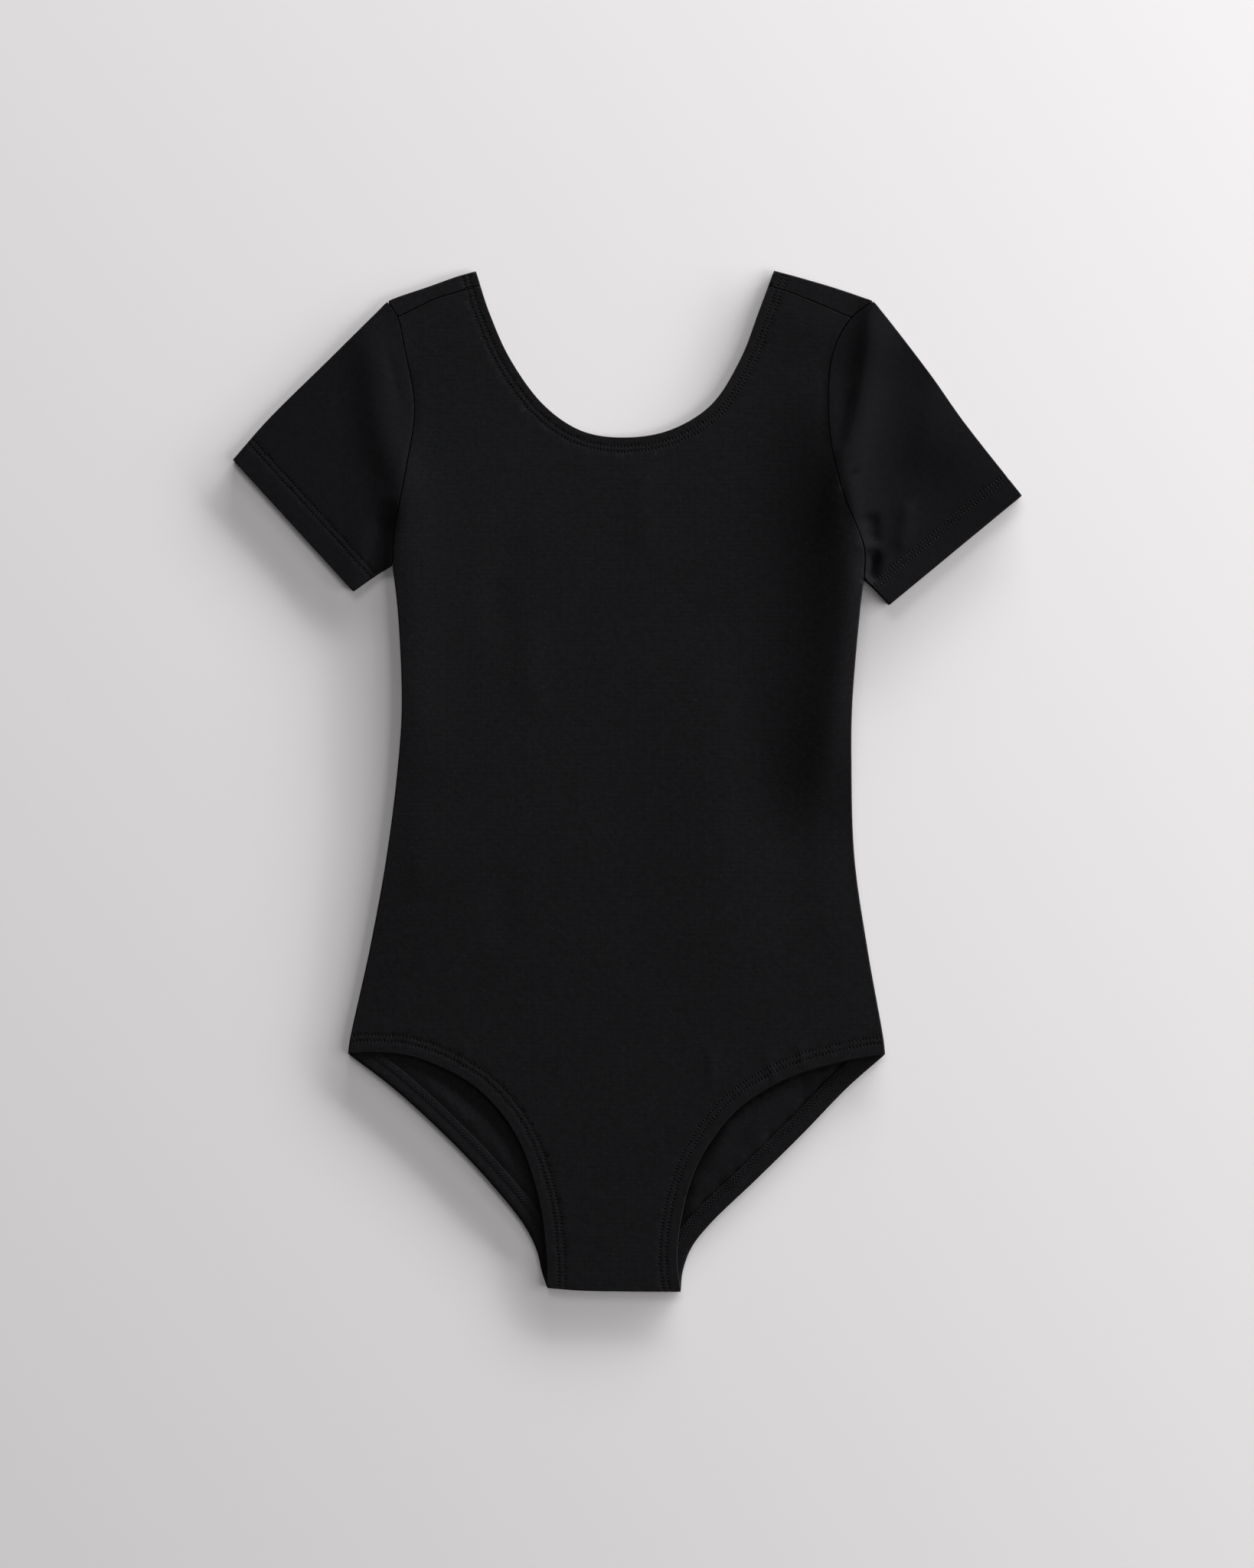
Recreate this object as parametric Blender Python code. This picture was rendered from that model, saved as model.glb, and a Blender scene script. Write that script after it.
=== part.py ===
"""A child's short-sleeved leotard with a scoop neck, laid flat on its back.

The tables are in millimetres and the finished meshes in metres. +X is to the right of someone who
looks down at the front, +Y runs from the crotch to the shoulders, +Z is up. The garment lies on
Z = 0 with the middle of its box over the origin.

Two layers of jersey lie on each other. Where one turns into the other, at the sides, shoulders,
sleeve folds and crotch, the cloth rounds over. Every piece is drawn in plan, counter-clockwise, so
that its cloth is on the left of each of its edges, and then lifted to the height of its layer.
"""
import math

import bpy
import numpy as np
from mathutils.geometry import delaunay_2d_cdt

MM = 0.001

# Cloth
CLOTH = 1.0               # wall of one layer of jersey
ELASTIC_HEM = 1.6         # wall of an edge that is turned over elastic
SEAM_GAP = 0.3            # space between two pieces that are sewn together
NECK_HEM_WIDTH = 8.5
LEG_HEM_WIDTH = 10.5

# How the two layers lie
EDGE_HEIGHT = 1.75        # the line where the front turns into the back
TURN_REACH = 2.5          # how far in from that line the cloth is still turning
FLAT_HEIGHT = 2.6         # top of the front where it lies flat on the back
HEM_HEIGHT = 3.5          # top of the front along its hems and turned edges
LOWEST_FRONT = 2.4        # no trough goes deeper than this
HEM_FADE = 14.0           # how far the front takes to come down from a hem
HEM_REST = 3.0            # how far past a hem the front stays up, because the back's hem is below
HEM_BLEND = 16.0          # how far from its ends a hem turns square to its edge
BACK_NECK_DEPTH = 2.0     # how much deeper the back neckline is than the front one
CROTCH_WRAP = 14.0        # how far the front reaches round under the crotch

# How finely the cloth is divided
TURNED_STEP = 9.0
CUT_STEP = 8.0
TURN_ANGLES = (30, 60, 90)
FRONT_STEP = 15.0
SLEEVE_STEP = 8.0
UNDER_STEP = 30.0
LINE_STEP = 1.5           # between the points of a smooth line
FOLD_LINE_STEP = 4.0
SPAN_POINTS = 30          # worked out on each span of a smooth curve
ROW_SHARE = 0.87          # distance between the rows of the inner points, as a share of their step
CLEAR_SHARE = 0.55        # how clear of the edge an inner point is, as a share of the step
EXTENSION = 3.0           # how far an edge is carried on to find where it meets another
NEARLY_ZERO = 1e-6
PLACE_DIGITS = 4          # points that agree to this many decimals are one
SHARP_ANGLE = math.radians(50)

# Edges in plan, as points on a smooth curve: x, y
LEFT_SIDE = (
    (-128.7, 118.2), (-125.8, 92.6), (-123.7, 42.2), (-125.8, 8.6),
    (-132.1, -41.8), (-141.3, -92.2), (-152.3, -142.6), (-153.1, -149.3),
)
RIGHT_SIDE = (
    (141.3, -149.8), (140.6, -142.6), (131.7, -92.2), (124.5, -41.8),
    (122.9, 8.6), (123.3, 42.2), (127.5, 92.6), (129.6, 110.3),
)
CROTCH_FOLD = ((-43.9, -277.8), (-26.0, -279.2), (0.0, -279.7), (29.2, -279.9))
LEFT_TOP = (
    (-83.0, 279.6), (-91.8, 277.2), (-110.3, 270.7), (-126.5, 265.2), (-131.3, 263.0),
    (-137.2, 257.3), (-163.6, 231.2), (-197.6, 197.6), (-216.3, 176.2),
)
RIGHT_TOP = (
    (216.3, 156.5), (183.8, 197.6), (166.1, 222.8), (139.6, 257.3),
    (134.6, 263.0), (129.0, 265.2), (112.8, 270.7), (90.5, 277.2), (80.4, 279.9),
)
LEFT_CUFF = ((-216.3, 176.2), (-150.2, 103.9))
RIGHT_CUFF = ((143.4, 96.4), (216.3, 156.5))
LEFT_UNDERARM = ((-150.2, 103.9), (-136.3, 113.6), (-128.7, 118.2))
RIGHT_UNDERARM = ((129.6, 110.3), (135.0, 105.2), (143.4, 96.4))
NECK = (
    (80.4, 279.9), (72.0, 257.3), (61.9, 231.2), (45.6, 206.0), (22.0, 192.0),
    (-4.4, 188.4), (-25.5, 192.2), (-45.6, 206.0), (-64.1, 231.2), (-75.8, 257.3), (-83.0, 279.6),
)
LEFT_ARMHOLE_FRONT = (
    (-131.3, 263.0), (-125.8, 253.9), (-122.0, 236.7), (-116.6, 204.0),
    (-121.2, 172.0), (-127.9, 135.5), (-128.7, 118.2),
)
RIGHT_ARMHOLE_FRONT = (
    (129.6, 110.3), (129.4, 128.0), (117.8, 158.1), (110.4, 193.0),
    (112.4, 234.2), (122.4, 253.5), (134.6, 263.0),
)
LEFT_ARMHOLE_BACK = (
    (-131.3, 263.0), (-121.0, 236.0), (-119.0, 200.0), (-123.0, 155.0), (-128.7, 118.2),
)
RIGHT_ARMHOLE_BACK = (
    (129.6, 110.3), (123.0, 155.0), (117.0, 200.0), (120.0, 236.0), (134.6, 263.0),
)
LEFT_SHOULDER_SEAM = ((-80.4, 272.0), (-95.6, 267.3), (-104.0, 264.8), (-125.8, 254.4))
RIGHT_SHOULDER_SEAM = ((76.2, 271.7), (86.7, 268.6), (104.5, 261.6), (122.4, 253.9))
LEFT_LEG_FRONT = (
    (-153.1, -149.3), (-138.4, -148.6), (-117.4, -151.0), (-89.7, -163.2), (-75.8, -174.5),
    (-64.5, -188.4), (-56.5, -203.9), (-48.1, -231.6), (-44.6, -258.0), (-43.9, -277.8),
)
RIGHT_LEG_FRONT = (
    (29.2, -279.9), (27.3, -260.0), (31.3, -231.2), (37.6, -211.9), (46.4, -196.4),
    (59.4, -180.8), (75.0, -169.5), (94.3, -160.2), (127.5, -151.6), (141.3, -149.8),
)
LEFT_LEG_BACK = (
    (-153.1, -149.3), (-128.7, -167.8), (-101.0, -193.0), (-76.7, -218.2),
    (-56.5, -243.4), (-49.6, -257.5), (-47.0, -268.6), (-43.9, -277.8),
)
RIGHT_LEG_BACK = (
    (29.2, -279.9), (30.4, -268.6), (35.0, -256.0), (44.7, -243.4),
    (70.8, -218.2), (96.4, -193.0), (120.8, -167.8), (141.3, -149.8),
)

# Soft folds of the front layer: start, middle and end in plan, height, half width
FOLDS = (
    # The left side stands up along its seam
    ((-117.0, 150.0), (-116.5, 60.0), (-120.0, -30.0), 1.6, 9.0),
    # The right side stands higher, above a long trough
    ((119.5, 160.0), (117.5, 75.0), (116.5, 2.0), 2.4, 7.5),
    ((117.5, 10.0), (120.0, -50.0), (129.0, -110.0), 0.9, 7.0),
    # The left sleeve head rolls over beside its seam
    ((-138.0, 248.0), (-141.5, 212.0), (-134.0, 165.0), 2.8, 8.5),
    ((-160.0, 200.0), (-153.0, 165.0), (-139.0, 128.0), -0.9, 9.0),
    # The right sleeve head has a hollow, then a wide roll
    ((128.0, 246.0), (123.5, 215.0), (114.0, 184.0), -0.9, 4.0),
    ((137.5, 252.0), (137.0, 210.0), (126.0, 160.0), 3.2, 9.0),
    ((172.0, 214.0), (163.0, 180.0), (152.0, 140.0), 1.1, 9.0),
)

CLOTH_COLOUR = (0.0085, 0.0085, 0.0095, 1.0)
CLOTH_ROUGHNESS = 0.88


def unit(vectors):
    """Vectors brought to length one."""
    return vectors / np.linalg.norm(vectors, axis=-1, keepdims=True)


def run(line):
    """Distance from the start of a line to each of its points."""
    return np.concatenate([[0.0], np.cumsum(np.linalg.norm(np.diff(line, axis=0), axis=1))])


def at(line, distances):
    """Points of a line at the given distances along it."""
    along = run(line)
    return np.column_stack([np.interp(distances, along, line[:, axis]) for axis in (0, 1)])


def between(a, b, time_a, time_b, time):
    """The point at a time between two timed points."""
    return (a * (time_b - time) + b * (time - time_a)) / (time_b - time_a)


def curve(points, step=LINE_STEP):
    """A line of evenly spaced points on a smooth curve through the given points."""
    p = np.array(points, float)
    p = np.vstack([2 * p[0] - p[1], p, 2 * p[-1] - p[-2]])
    t = np.concatenate([[0.0], np.cumsum(np.sqrt(np.linalg.norm(np.diff(p, axis=0), axis=1)))])
    line = [p[1]]
    for i in range(1, len(p) - 2):
        for time in np.linspace(t[i], t[i + 1], SPAN_POINTS)[1:]:
            a = between(p[i - 1], p[i], t[i - 1], t[i], time)
            b = between(p[i], p[i + 1], t[i], t[i + 1], time)
            c = between(p[i + 1], p[i + 2], t[i + 1], t[i + 2], time)
            d = between(a, b, t[i - 1], t[i + 1], time)
            e = between(b, c, t[i], t[i + 2], time)
            line.append(between(d, e, t[i], t[i + 1], time))
    return spaced(np.array(line), step)


def spaced(line, step):
    """A line with its points moved to even steps, its ends kept."""
    length = run(line)[-1]
    return at(line, np.linspace(0, length, max(2, round(length / step) + 1)))


def stretch(line, start, end):
    """The part of a line between two distances; an end of zero or less counts from its end."""
    along = run(line)
    end = along[-1] + end if end <= 0 else end
    kept = line[(along > start + NEARLY_ZERO) & (along < end - NEARLY_ZERO)]
    return np.vstack([at(line, [start]), kept, at(line, [end])])


def left_of(line):
    """Unit vectors to the left of a line at each of its points."""
    ahead = unit(np.gradient(line, axis=0))
    return np.column_stack([-ahead[:, 1], ahead[:, 0]])


def inset(line):
    """A line moved into its cloth by half of a seam's gap."""
    return line + left_of(line) * SEAM_GAP / 2


def longer(line):
    """A line carried straight on at both ends."""
    first = line[0] - EXTENSION * unit(line[1] - line[0])
    last = line[-1] + EXTENSION * unit(line[-1] - line[-2])
    return np.vstack([first, line, last])


def crossing(line, other):
    """Distance along a line to where it crosses another."""
    along = run(line)
    start = line[:-1, None]
    step = np.diff(line, axis=0)[:, None]
    other_start = other[None, :-1]
    other_step = np.diff(other, axis=0)[None]
    cross = step[..., 0] * other_step[..., 1] - step[..., 1] * other_step[..., 0]
    gap = other_start - start
    safe = np.where(np.abs(cross) < NEARLY_ZERO, NEARLY_ZERO, cross)
    s = (gap[..., 0] * other_step[..., 1] - gap[..., 1] * other_step[..., 0]) / safe
    t = (gap[..., 0] * step[..., 1] - gap[..., 1] * step[..., 0]) / safe
    hits = np.argwhere((s >= 0) & (s <= 1) & (t >= 0) & (t <= 1))
    i, j = hits[0]
    return along[i] + s[i, j] * (along[i + 1] - along[i])


def trimmed(line, after=None, before=None):
    """The part of a line after it crosses one line and before it crosses another."""
    line = longer(line)
    start = EXTENSION if after is None else crossing(line, longer(after))
    end = -EXTENSION if before is None else crossing(line, longer(before))
    return stretch(line, start, end)


def nearest(xy, line):
    """For each point, its distance to a line, and the line's left direction and share there."""
    side = left_of(line)
    start, step = line[:-1], np.diff(line, axis=0)
    reach = xy[:, None] - start[None]
    share = np.clip((reach * step).sum(-1) / (step ** 2).sum(-1), 0, 1)
    away = np.linalg.norm(reach - share[..., None] * step, axis=-1)
    best = away.argmin(axis=1)
    pick = np.arange(len(xy)), best
    part = share[pick][:, None]
    facing = unit(side[best] * (1 - part) + side[best + 1] * part)
    return away[pick], facing, (best + share[pick]) / len(step)


def fade(distance, full, reach):
    """One up to a full distance, easing to nothing over the reach beyond it."""
    return 0.5 + 0.5 * np.cos(np.pi * np.clip((distance - full) / reach, 0, 1))


class Plan:
    """The garment's edges in plan, as lines worked out from the tables."""

    def __init__(self):
        self.sides = {"left": curve(LEFT_SIDE), "right": curve(RIGHT_SIDE)}
        self.tops = {"left": curve(LEFT_TOP), "right": curve(RIGHT_TOP)}
        self.underarms = {"left": curve(LEFT_UNDERARM), "right": curve(RIGHT_UNDERARM)}
        self.cuffs = {"left": curve(LEFT_CUFF), "right": curve(RIGHT_CUFF)}
        self.crotch = curve(CROTCH_FOLD)
        self.armholes = {
            ("left", "front"): curve(LEFT_ARMHOLE_FRONT),
            ("right", "front"): curve(RIGHT_ARMHOLE_FRONT),
            ("left", "back"): curve(LEFT_ARMHOLE_BACK),
            ("right", "back"): curve(RIGHT_ARMHOLE_BACK),
        }
        self.shoulder_seams = {
            "left": curve(LEFT_SHOULDER_SEAM),
            "right": curve(RIGHT_SHOULDER_SEAM),
        }
        neck = curve(NECK)
        share = np.linspace(0, 1, len(neck))[:, None]
        self.necks = {
            "front": neck,
            "back": neck + left_of(neck) * BACK_NECK_DEPTH * np.sqrt(np.sin(np.pi * share)),
        }
        self.legs = {
            ("left", "front"): curve(LEFT_LEG_FRONT),
            ("left", "back"): curve(LEFT_LEG_BACK),
            ("right", "front"): curve(RIGHT_LEG_FRONT),
            ("right", "back"): curve(RIGHT_LEG_BACK),
        }
        self.tips = {
            "left": crossing(self.tops["left"], longer(self.armholes["left", "front"])),
            "right": crossing(self.tops["right"], longer(self.armholes["right", "front"])),
        }
        # Turned edges, and whether a seam runs along them
        self.turned = [
            (self.sides["left"], True),
            (self.sides["right"], True),
            (self.underarms["left"], True),
            (self.underarms["right"], True),
            (self.tops["left"], False),
            (self.tops["right"], False),
            (self.crotch, False),
        ]
        self.front_hems = [
            (self.necks["front"], NECK_HEM_WIDTH),
            (self.legs["left", "front"], LEG_HEM_WIDTH),
            (self.legs["right", "front"], LEG_HEM_WIDTH),
            (self.cuffs["left"], 0.0),
            (self.cuffs["right"], 0.0),
        ]

    def across_neck(self, layer):
        """Vectors from the neck edge to the inner edge of its hem."""
        first = at(self.tops["right"], [run(self.tops["right"])[-1] - NECK_HEM_WIDTH])[0]
        last = at(self.tops["left"], [NECK_HEM_WIDTH])[0]
        return across(self.necks[layer], NECK_HEM_WIDTH, first, last)

    def across_leg(self, hand, layer):
        """Vectors from a leg edge to the inner edge of its hem."""
        side = self.sides[hand]
        if hand == "left":
            corner = at(side, [run(side)[-1] - LEG_HEM_WIDTH])[0]
            fold = at(self.crotch, [LEG_HEM_WIDTH])[0]
            return across(self.legs[hand, layer], LEG_HEM_WIDTH, corner, fold)
        corner = at(side, [LEG_HEM_WIDTH])[0]
        fold = at(self.crotch, [run(self.crotch)[-1] - LEG_HEM_WIDTH])[0]
        return across(self.legs[hand, layer], LEG_HEM_WIDTH, fold, corner)

    def neck_line(self, layer):
        """The edge of the cloth beside the neck hem."""
        return self.necks[layer] + self.across_neck(layer) * (1 + SEAM_GAP / NECK_HEM_WIDTH)

    def leg_line(self, hand, layer):
        """The edge of the cloth beside a leg hem."""
        widening = 1 + SEAM_GAP / LEG_HEM_WIDTH
        return self.legs[hand, layer] + self.across_leg(hand, layer) * widening


def across(edge, width, first, last):
    """Vectors across a hem. They point into the cloth, and at both ends to a given point."""
    along = run(edge)[:, None]
    to_first = fade(along, 0, HEM_BLEND)
    to_last = fade(along[-1] - along, 0, HEM_BLEND)
    square = left_of(edge) * width
    square = square * (1 - to_first) + (first - edge[0]) * to_first
    return square * (1 - to_last) + (last - edge[-1]) * to_last


def front_height(plan, xy):
    """Height of the outside of the front layer."""
    raised = np.zeros(len(xy))
    for line, width in plan.front_hems:
        raised = np.maximum(raised, fade(nearest(xy, line)[0], width + HEM_REST, HEM_FADE))
    for line, _ in plan.turned:
        raised = np.maximum(raised, fade(nearest(xy, line)[0], TURN_REACH, HEM_FADE))
    height = FLAT_HEIGHT + (HEM_HEIGHT - FLAT_HEIGHT) * raised
    for start, middle, end, rise, half_width in FOLDS:
        away, _, share = nearest(xy, curve((start, middle, end), FOLD_LINE_STEP))
        height += rise * np.exp(-(away / half_width) ** 2) * np.sqrt(np.sin(np.pi * share))
    return np.maximum(height, LOWEST_FRONT)


def lift(plan, xy, on_turn, layer, wall, seam_gap):
    """The outside and the inside of the cloth above each point of the plan."""
    away = np.full(len(xy), np.inf)
    inward = np.zeros((len(xy), 2))
    apart = np.zeros(len(xy))
    for line, sewn in plan.turned:
        distance, facing, _ = nearest(xy, line)
        closer = distance < away
        away = np.where(closer, distance, away)
        inward[closer] = facing[closer]
        apart = np.where(closer, seam_gap / 2 if sewn else 0.0, apart)
    away[on_turn] = 0.0
    level = np.clip(1 - away / TURN_REACH, 0, 1)
    upright = np.sqrt(1 - level ** 2)
    if layer == "front":
        full, sign = front_height(plan, xy) - EDGE_HEIGHT, 1
    else:
        full, sign = EDGE_HEIGHT, -1
    height = EDGE_HEIGHT + sign * (apart + (full - apart) * upright)
    moved = xy + inward * (wall * level)[:, None]
    outside = np.column_stack([xy, height])
    within = np.column_stack([moved, height - sign * wall * upright])
    return outside, within


def turn_distances():
    """How far in from a turned edge its rows of points are."""
    return np.array([TURN_REACH * (1 - math.cos(math.radians(angle))) for angle in TURN_ANGLES])


def eased(length):
    """Distances along a cut edge, closer near its ends, where the cloth may turn."""
    close = turn_distances()
    close = close[close < length / 2 - SEAM_GAP]
    first = close[-1] if len(close) else 0.0
    middle = np.linspace(first, length - first, max(2, round((length - 2 * first) / CUT_STEP) + 1))
    return np.unique(np.round(np.concatenate([[0.0, length], close, length - close, middle]), 6))


def outline(edges):
    """One closed line from edges that follow each other, and which of its points are turned."""
    ends = {}
    for k, (line, turned) in enumerate(edges):
        if turned:
            ends[k] = line[0]
            ends[(k + 1) % len(edges)] = line[-1]
    points, flags = [], []
    for k, (line, turned) in enumerate(edges):
        line = line.copy() if turned else at(line, eased(run(line)[-1]))
        line[0] = ends.get(k, line[0])
        line[-1] = ends.get((k + 1) % len(edges), line[-1])
        before = edges[k - 1][1]
        points.extend(line[:-1])
        flags.extend([turned or before] + [turned] * (len(line) - 2))
    return np.array(points), np.array(flags)


def inside(xy, loop):
    """Whether each point is inside a closed line."""
    a, b = loop[None], np.roll(loop, -1, axis=0)[None]
    x, y = xy[:, 0, None], xy[:, 1, None]
    spans = (a[..., 1] > y) != (b[..., 1] > y)
    rise = np.where(spans, b[..., 1] - a[..., 1], 1.0)
    at_x = a[..., 0] + (y - a[..., 1]) / rise * (b[..., 0] - a[..., 0])
    return (spans & (x < at_x)).sum(axis=1) % 2 == 1


def divided(edges, step):
    """A flat piece divided into triangles: its points, which lie on a turned edge, its triangles."""
    loop, flags = outline(edges)
    points = list(loop)
    constraints = []
    for line, turned in edges:
        if not turned:
            continue
        side = left_of(line)[1:-1]
        for distance in turn_distances():
            row = line[1:-1] + side * distance
            row = row[inside(row, loop)]
            constraints += [(len(points) + i, len(points) + i + 1) for i in range(len(row) - 1)]
            points.extend(row)
    placed = np.array(points)
    low, high = loop.min(axis=0), loop.max(axis=0)
    columns = np.arange(low[0] + step / 2, high[0], step)
    rows = np.arange(low[1] + step / 2, high[1], step * ROW_SHARE)
    grid = np.array([(x + step / 2 * (k % 2), y) for k, y in enumerate(rows) for x in columns])
    grid = grid[inside(grid, loop)]
    clear = np.linalg.norm(grid[:, None] - placed[None], axis=-1).min(axis=1) > step * CLEAR_SHARE
    placed = np.vstack([placed, grid[clear]])
    border = list(range(len(loop)))
    within_border = 1
    made = delaunay_2d_cdt([tuple(p) for p in placed], constraints, [border], within_border, NEARLY_ZERO)
    xy = np.array([tuple(p) for p in made[0]])
    on_turn = np.array([any(i < len(loop) and flags[i] for i in source) for source in made[3]])
    return xy, on_turn, [tuple(face) for face in made[2]]


class Cloth:
    """A piece of cloth: outside and inside points that belong together, and the outside faces."""

    def __init__(self):
        self.outside, self.inside, self.faces, self.places = [], [], [], {}

    def point(self, outside, within):
        """The number of a point, which is used again where two layers meet on a turned edge."""
        key = tuple(np.round(outside, PLACE_DIGITS))
        if key not in self.places:
            self.places[key] = len(self.outside)
            self.outside.append(outside)
            self.inside.append(within)
        return self.places[key]

    def add(self, outside, within, faces, layer):
        """Adds one layer's points and faces, turned so that they face out."""
        numbers = [self.point(a, b) for a, b in zip(outside, within)]
        for face in faces:
            face = [numbers[i] for i in face]
            if len(set(face)) == len(face):
                self.faces.append(face if layer == "front" else face[::-1])

    def build(self, name, parent):
        """Makes the closed mesh object: both surfaces and the rim that joins them."""
        count = len(self.outside)
        faces = [list(face) for face in self.faces]
        faces += [[i + count for i in reversed(face)] for face in self.faces]
        directed = {(f[i - 1], f[i]) for f in self.faces for i in range(len(f))}
        faces += [[b, a, a + count, b + count] for a, b in directed if (b, a) not in directed]
        points = np.array(self.outside + self.inside) * MM
        middle = (points.min(axis=0) + points.max(axis=0)) / 2
        middle[2] = 0.0
        mesh = bpy.data.meshes.new(name)
        mesh.from_pydata((points - middle).tolist(), [], sorted(faces))
        mesh.validate()
        mesh.shade_smooth()
        mesh.set_sharp_from_angle(angle=SHARP_ANGLE)
        mesh.materials.append(jersey(name + "_jersey"))
        piece = bpy.data.objects.new(name, mesh)
        piece.location = middle
        piece.parent = parent
        bpy.context.scene.collection.objects.link(piece)
        return piece


def jersey(name):
    """Dull black cotton jersey."""
    material = bpy.data.materials.new(name)
    material.use_nodes = True
    shader = material.node_tree.nodes["Principled BSDF"]
    shader.inputs["Base Color"].default_value = CLOTH_COLOUR
    shader.inputs["Roughness"].default_value = CLOTH_ROUGHNESS
    shader.inputs["Metallic"].default_value = 0.0
    material.diffuse_color = CLOTH_COLOUR
    return material


def lay(plan, cloth, edges, layer, step, wall=CLOTH, seam_gap=SEAM_GAP):
    """Adds one layer of a piece, given by its edges in plan."""
    xy, on_turn, faces = divided(edges, step)
    outside, within = lift(plan, xy, on_turn, layer, wall, seam_gap)
    cloth.add(outside, within, faces, layer)


def side_edge(plan, hand):
    """The turned edge of the body at a side seam."""
    side = plan.sides[hand]
    hem = LEG_HEM_WIDTH + SEAM_GAP
    if hand == "left":
        return spaced(stretch(side, SEAM_GAP / 2, -hem), TURNED_STEP), True
    return spaced(stretch(side, hem, -SEAM_GAP / 2), TURNED_STEP), True


def shoulder_fold(plan, hand):
    """The turned edge of the back over a shoulder."""
    top, hem = plan.tops[hand], NECK_HEM_WIDTH + SEAM_GAP
    if hand == "left":
        fold = stretch(top, hem, plan.tips[hand] - SEAM_GAP / 2)
    else:
        fold = stretch(top, plan.tips[hand] + SEAM_GAP / 2, -hem)
    return spaced(fold, TURNED_STEP / 2), True


def crotch_fold(plan):
    """The turned edge of the front under the crotch."""
    hem = LEG_HEM_WIDTH + SEAM_GAP
    return spaced(stretch(plan.crotch, hem, -hem), TURNED_STEP), True


def crotch_seam():
    """The seam under the crotch, from left to right."""
    height = CROTCH_FOLD[0][1] + CROTCH_WRAP
    return curve(((CROTCH_FOLD[0][0] - 10, height), (CROTCH_FOLD[-1][0] + 10, height)))


def front_panel(plan, parent):
    """The front, from the shoulder seams to the crotch, and round under it to the crotch seam."""
    seams = {
        "left": inset(plan.shoulder_seams["left"]),
        "right": inset(plan.shoulder_seams["right"][::-1]),
    }
    neck = plan.neck_line("front")
    armholes = {hand: inset(plan.armholes[hand, "front"]) for hand in ("left", "right")}
    cloth = Cloth()
    edges = [
        crotch_fold(plan),
        (plan.leg_line("right", "front"), False),
        side_edge(plan, "right"),
        (trimmed(armholes["right"], before=seams["right"]), False),
        (trimmed(seams["right"], armholes["right"], neck), False),
        (trimmed(neck, seams["right"], seams["left"]), False),
        (trimmed(seams["left"], neck, armholes["left"]), False),
        (trimmed(armholes["left"], after=seams["left"]), False),
        side_edge(plan, "left"),
        (plan.leg_line("left", "front"), False),
    ]
    lay(plan, cloth, edges, "front", FRONT_STEP)
    seam = inset(crotch_seam()[::-1])
    right, left = plan.leg_line("right", "back"), plan.leg_line("left", "back")
    edges = [
        crotch_fold(plan),
        (trimmed(right, before=seam), False),
        (trimmed(seam, right, left), False),
        (trimmed(left, after=seam), False),
    ]
    lay(plan, cloth, edges, "back", FRONT_STEP)
    return cloth.build("front_panel", parent)


def back_panel(plan, parent):
    """The back, flat on the table, and over both shoulders to the shoulder seams."""
    seam = inset(crotch_seam())
    right, left = plan.leg_line("right", "back"), plan.leg_line("left", "back")
    cloth = Cloth()
    edges = [
        (trimmed(seam, left, right), False),
        (trimmed(right, after=seam), False),
        side_edge(plan, "right"),
        (inset(plan.armholes["right", "back"]), False),
        shoulder_fold(plan, "right"),
        (plan.neck_line("back"), False),
        shoulder_fold(plan, "left"),
        (inset(plan.armholes["left", "back"]), False),
        side_edge(plan, "left"),
        (trimmed(left, before=seam), False),
    ]
    lay(plan, cloth, edges, "back", UNDER_STEP)
    for hand in ("left", "right"):
        lay(plan, cloth, shoulder_flap(plan, hand), "front", SLEEVE_STEP)
    return cloth.build("back_panel", parent)


def shoulder_flap(plan, hand):
    """Edges of the part of the back that comes forward over a shoulder."""
    neck = plan.neck_line("front")
    armhole = inset(plan.armholes[hand, "front"])
    if hand == "right":
        seam = inset(plan.shoulder_seams[hand])
        return [
            shoulder_fold(plan, hand),
            (trimmed(neck, before=seam), False),
            (trimmed(seam, neck, armhole), False),
            (trimmed(armhole, after=seam), False),
        ]
    seam = inset(plan.shoulder_seams[hand][::-1])
    return [
        shoulder_fold(plan, hand),
        (trimmed(armhole, before=seam), False),
        (trimmed(seam, armhole, neck), False),
        (trimmed(neck, after=seam), False),
    ]


def sleeve(plan, hand, parent):
    """A set-in sleeve, folded along its top and sewn under the arm."""
    cloth = Cloth()
    for layer, step in (("front", SLEEVE_STEP), ("back", UNDER_STEP)):
        armhole = (inset(plan.armholes[hand, layer][::-1]), False)
        cuff = (plan.cuffs[hand], False)
        if hand == "left":
            fold = stretch(plan.tops[hand], plan.tips[hand] + SEAM_GAP / 2, 0)
            under = stretch(plan.underarms[hand], 0, -SEAM_GAP / 2)
            edges = [(fold, True), cuff, (under, True), armhole]
        else:
            fold = stretch(plan.tops[hand], 0, plan.tips[hand] - SEAM_GAP / 2)
            under = stretch(plan.underarms[hand], SEAM_GAP / 2, 0)
            edges = [(under, True), cuff, (fold, True), armhole]
        edges = [(spaced(line, TURNED_STEP / 2) if turned else line, turned) for line, turned in edges]
        lay(plan, cloth, edges, layer, step)
    return cloth.build("sleeve_" + hand, parent)


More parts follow.
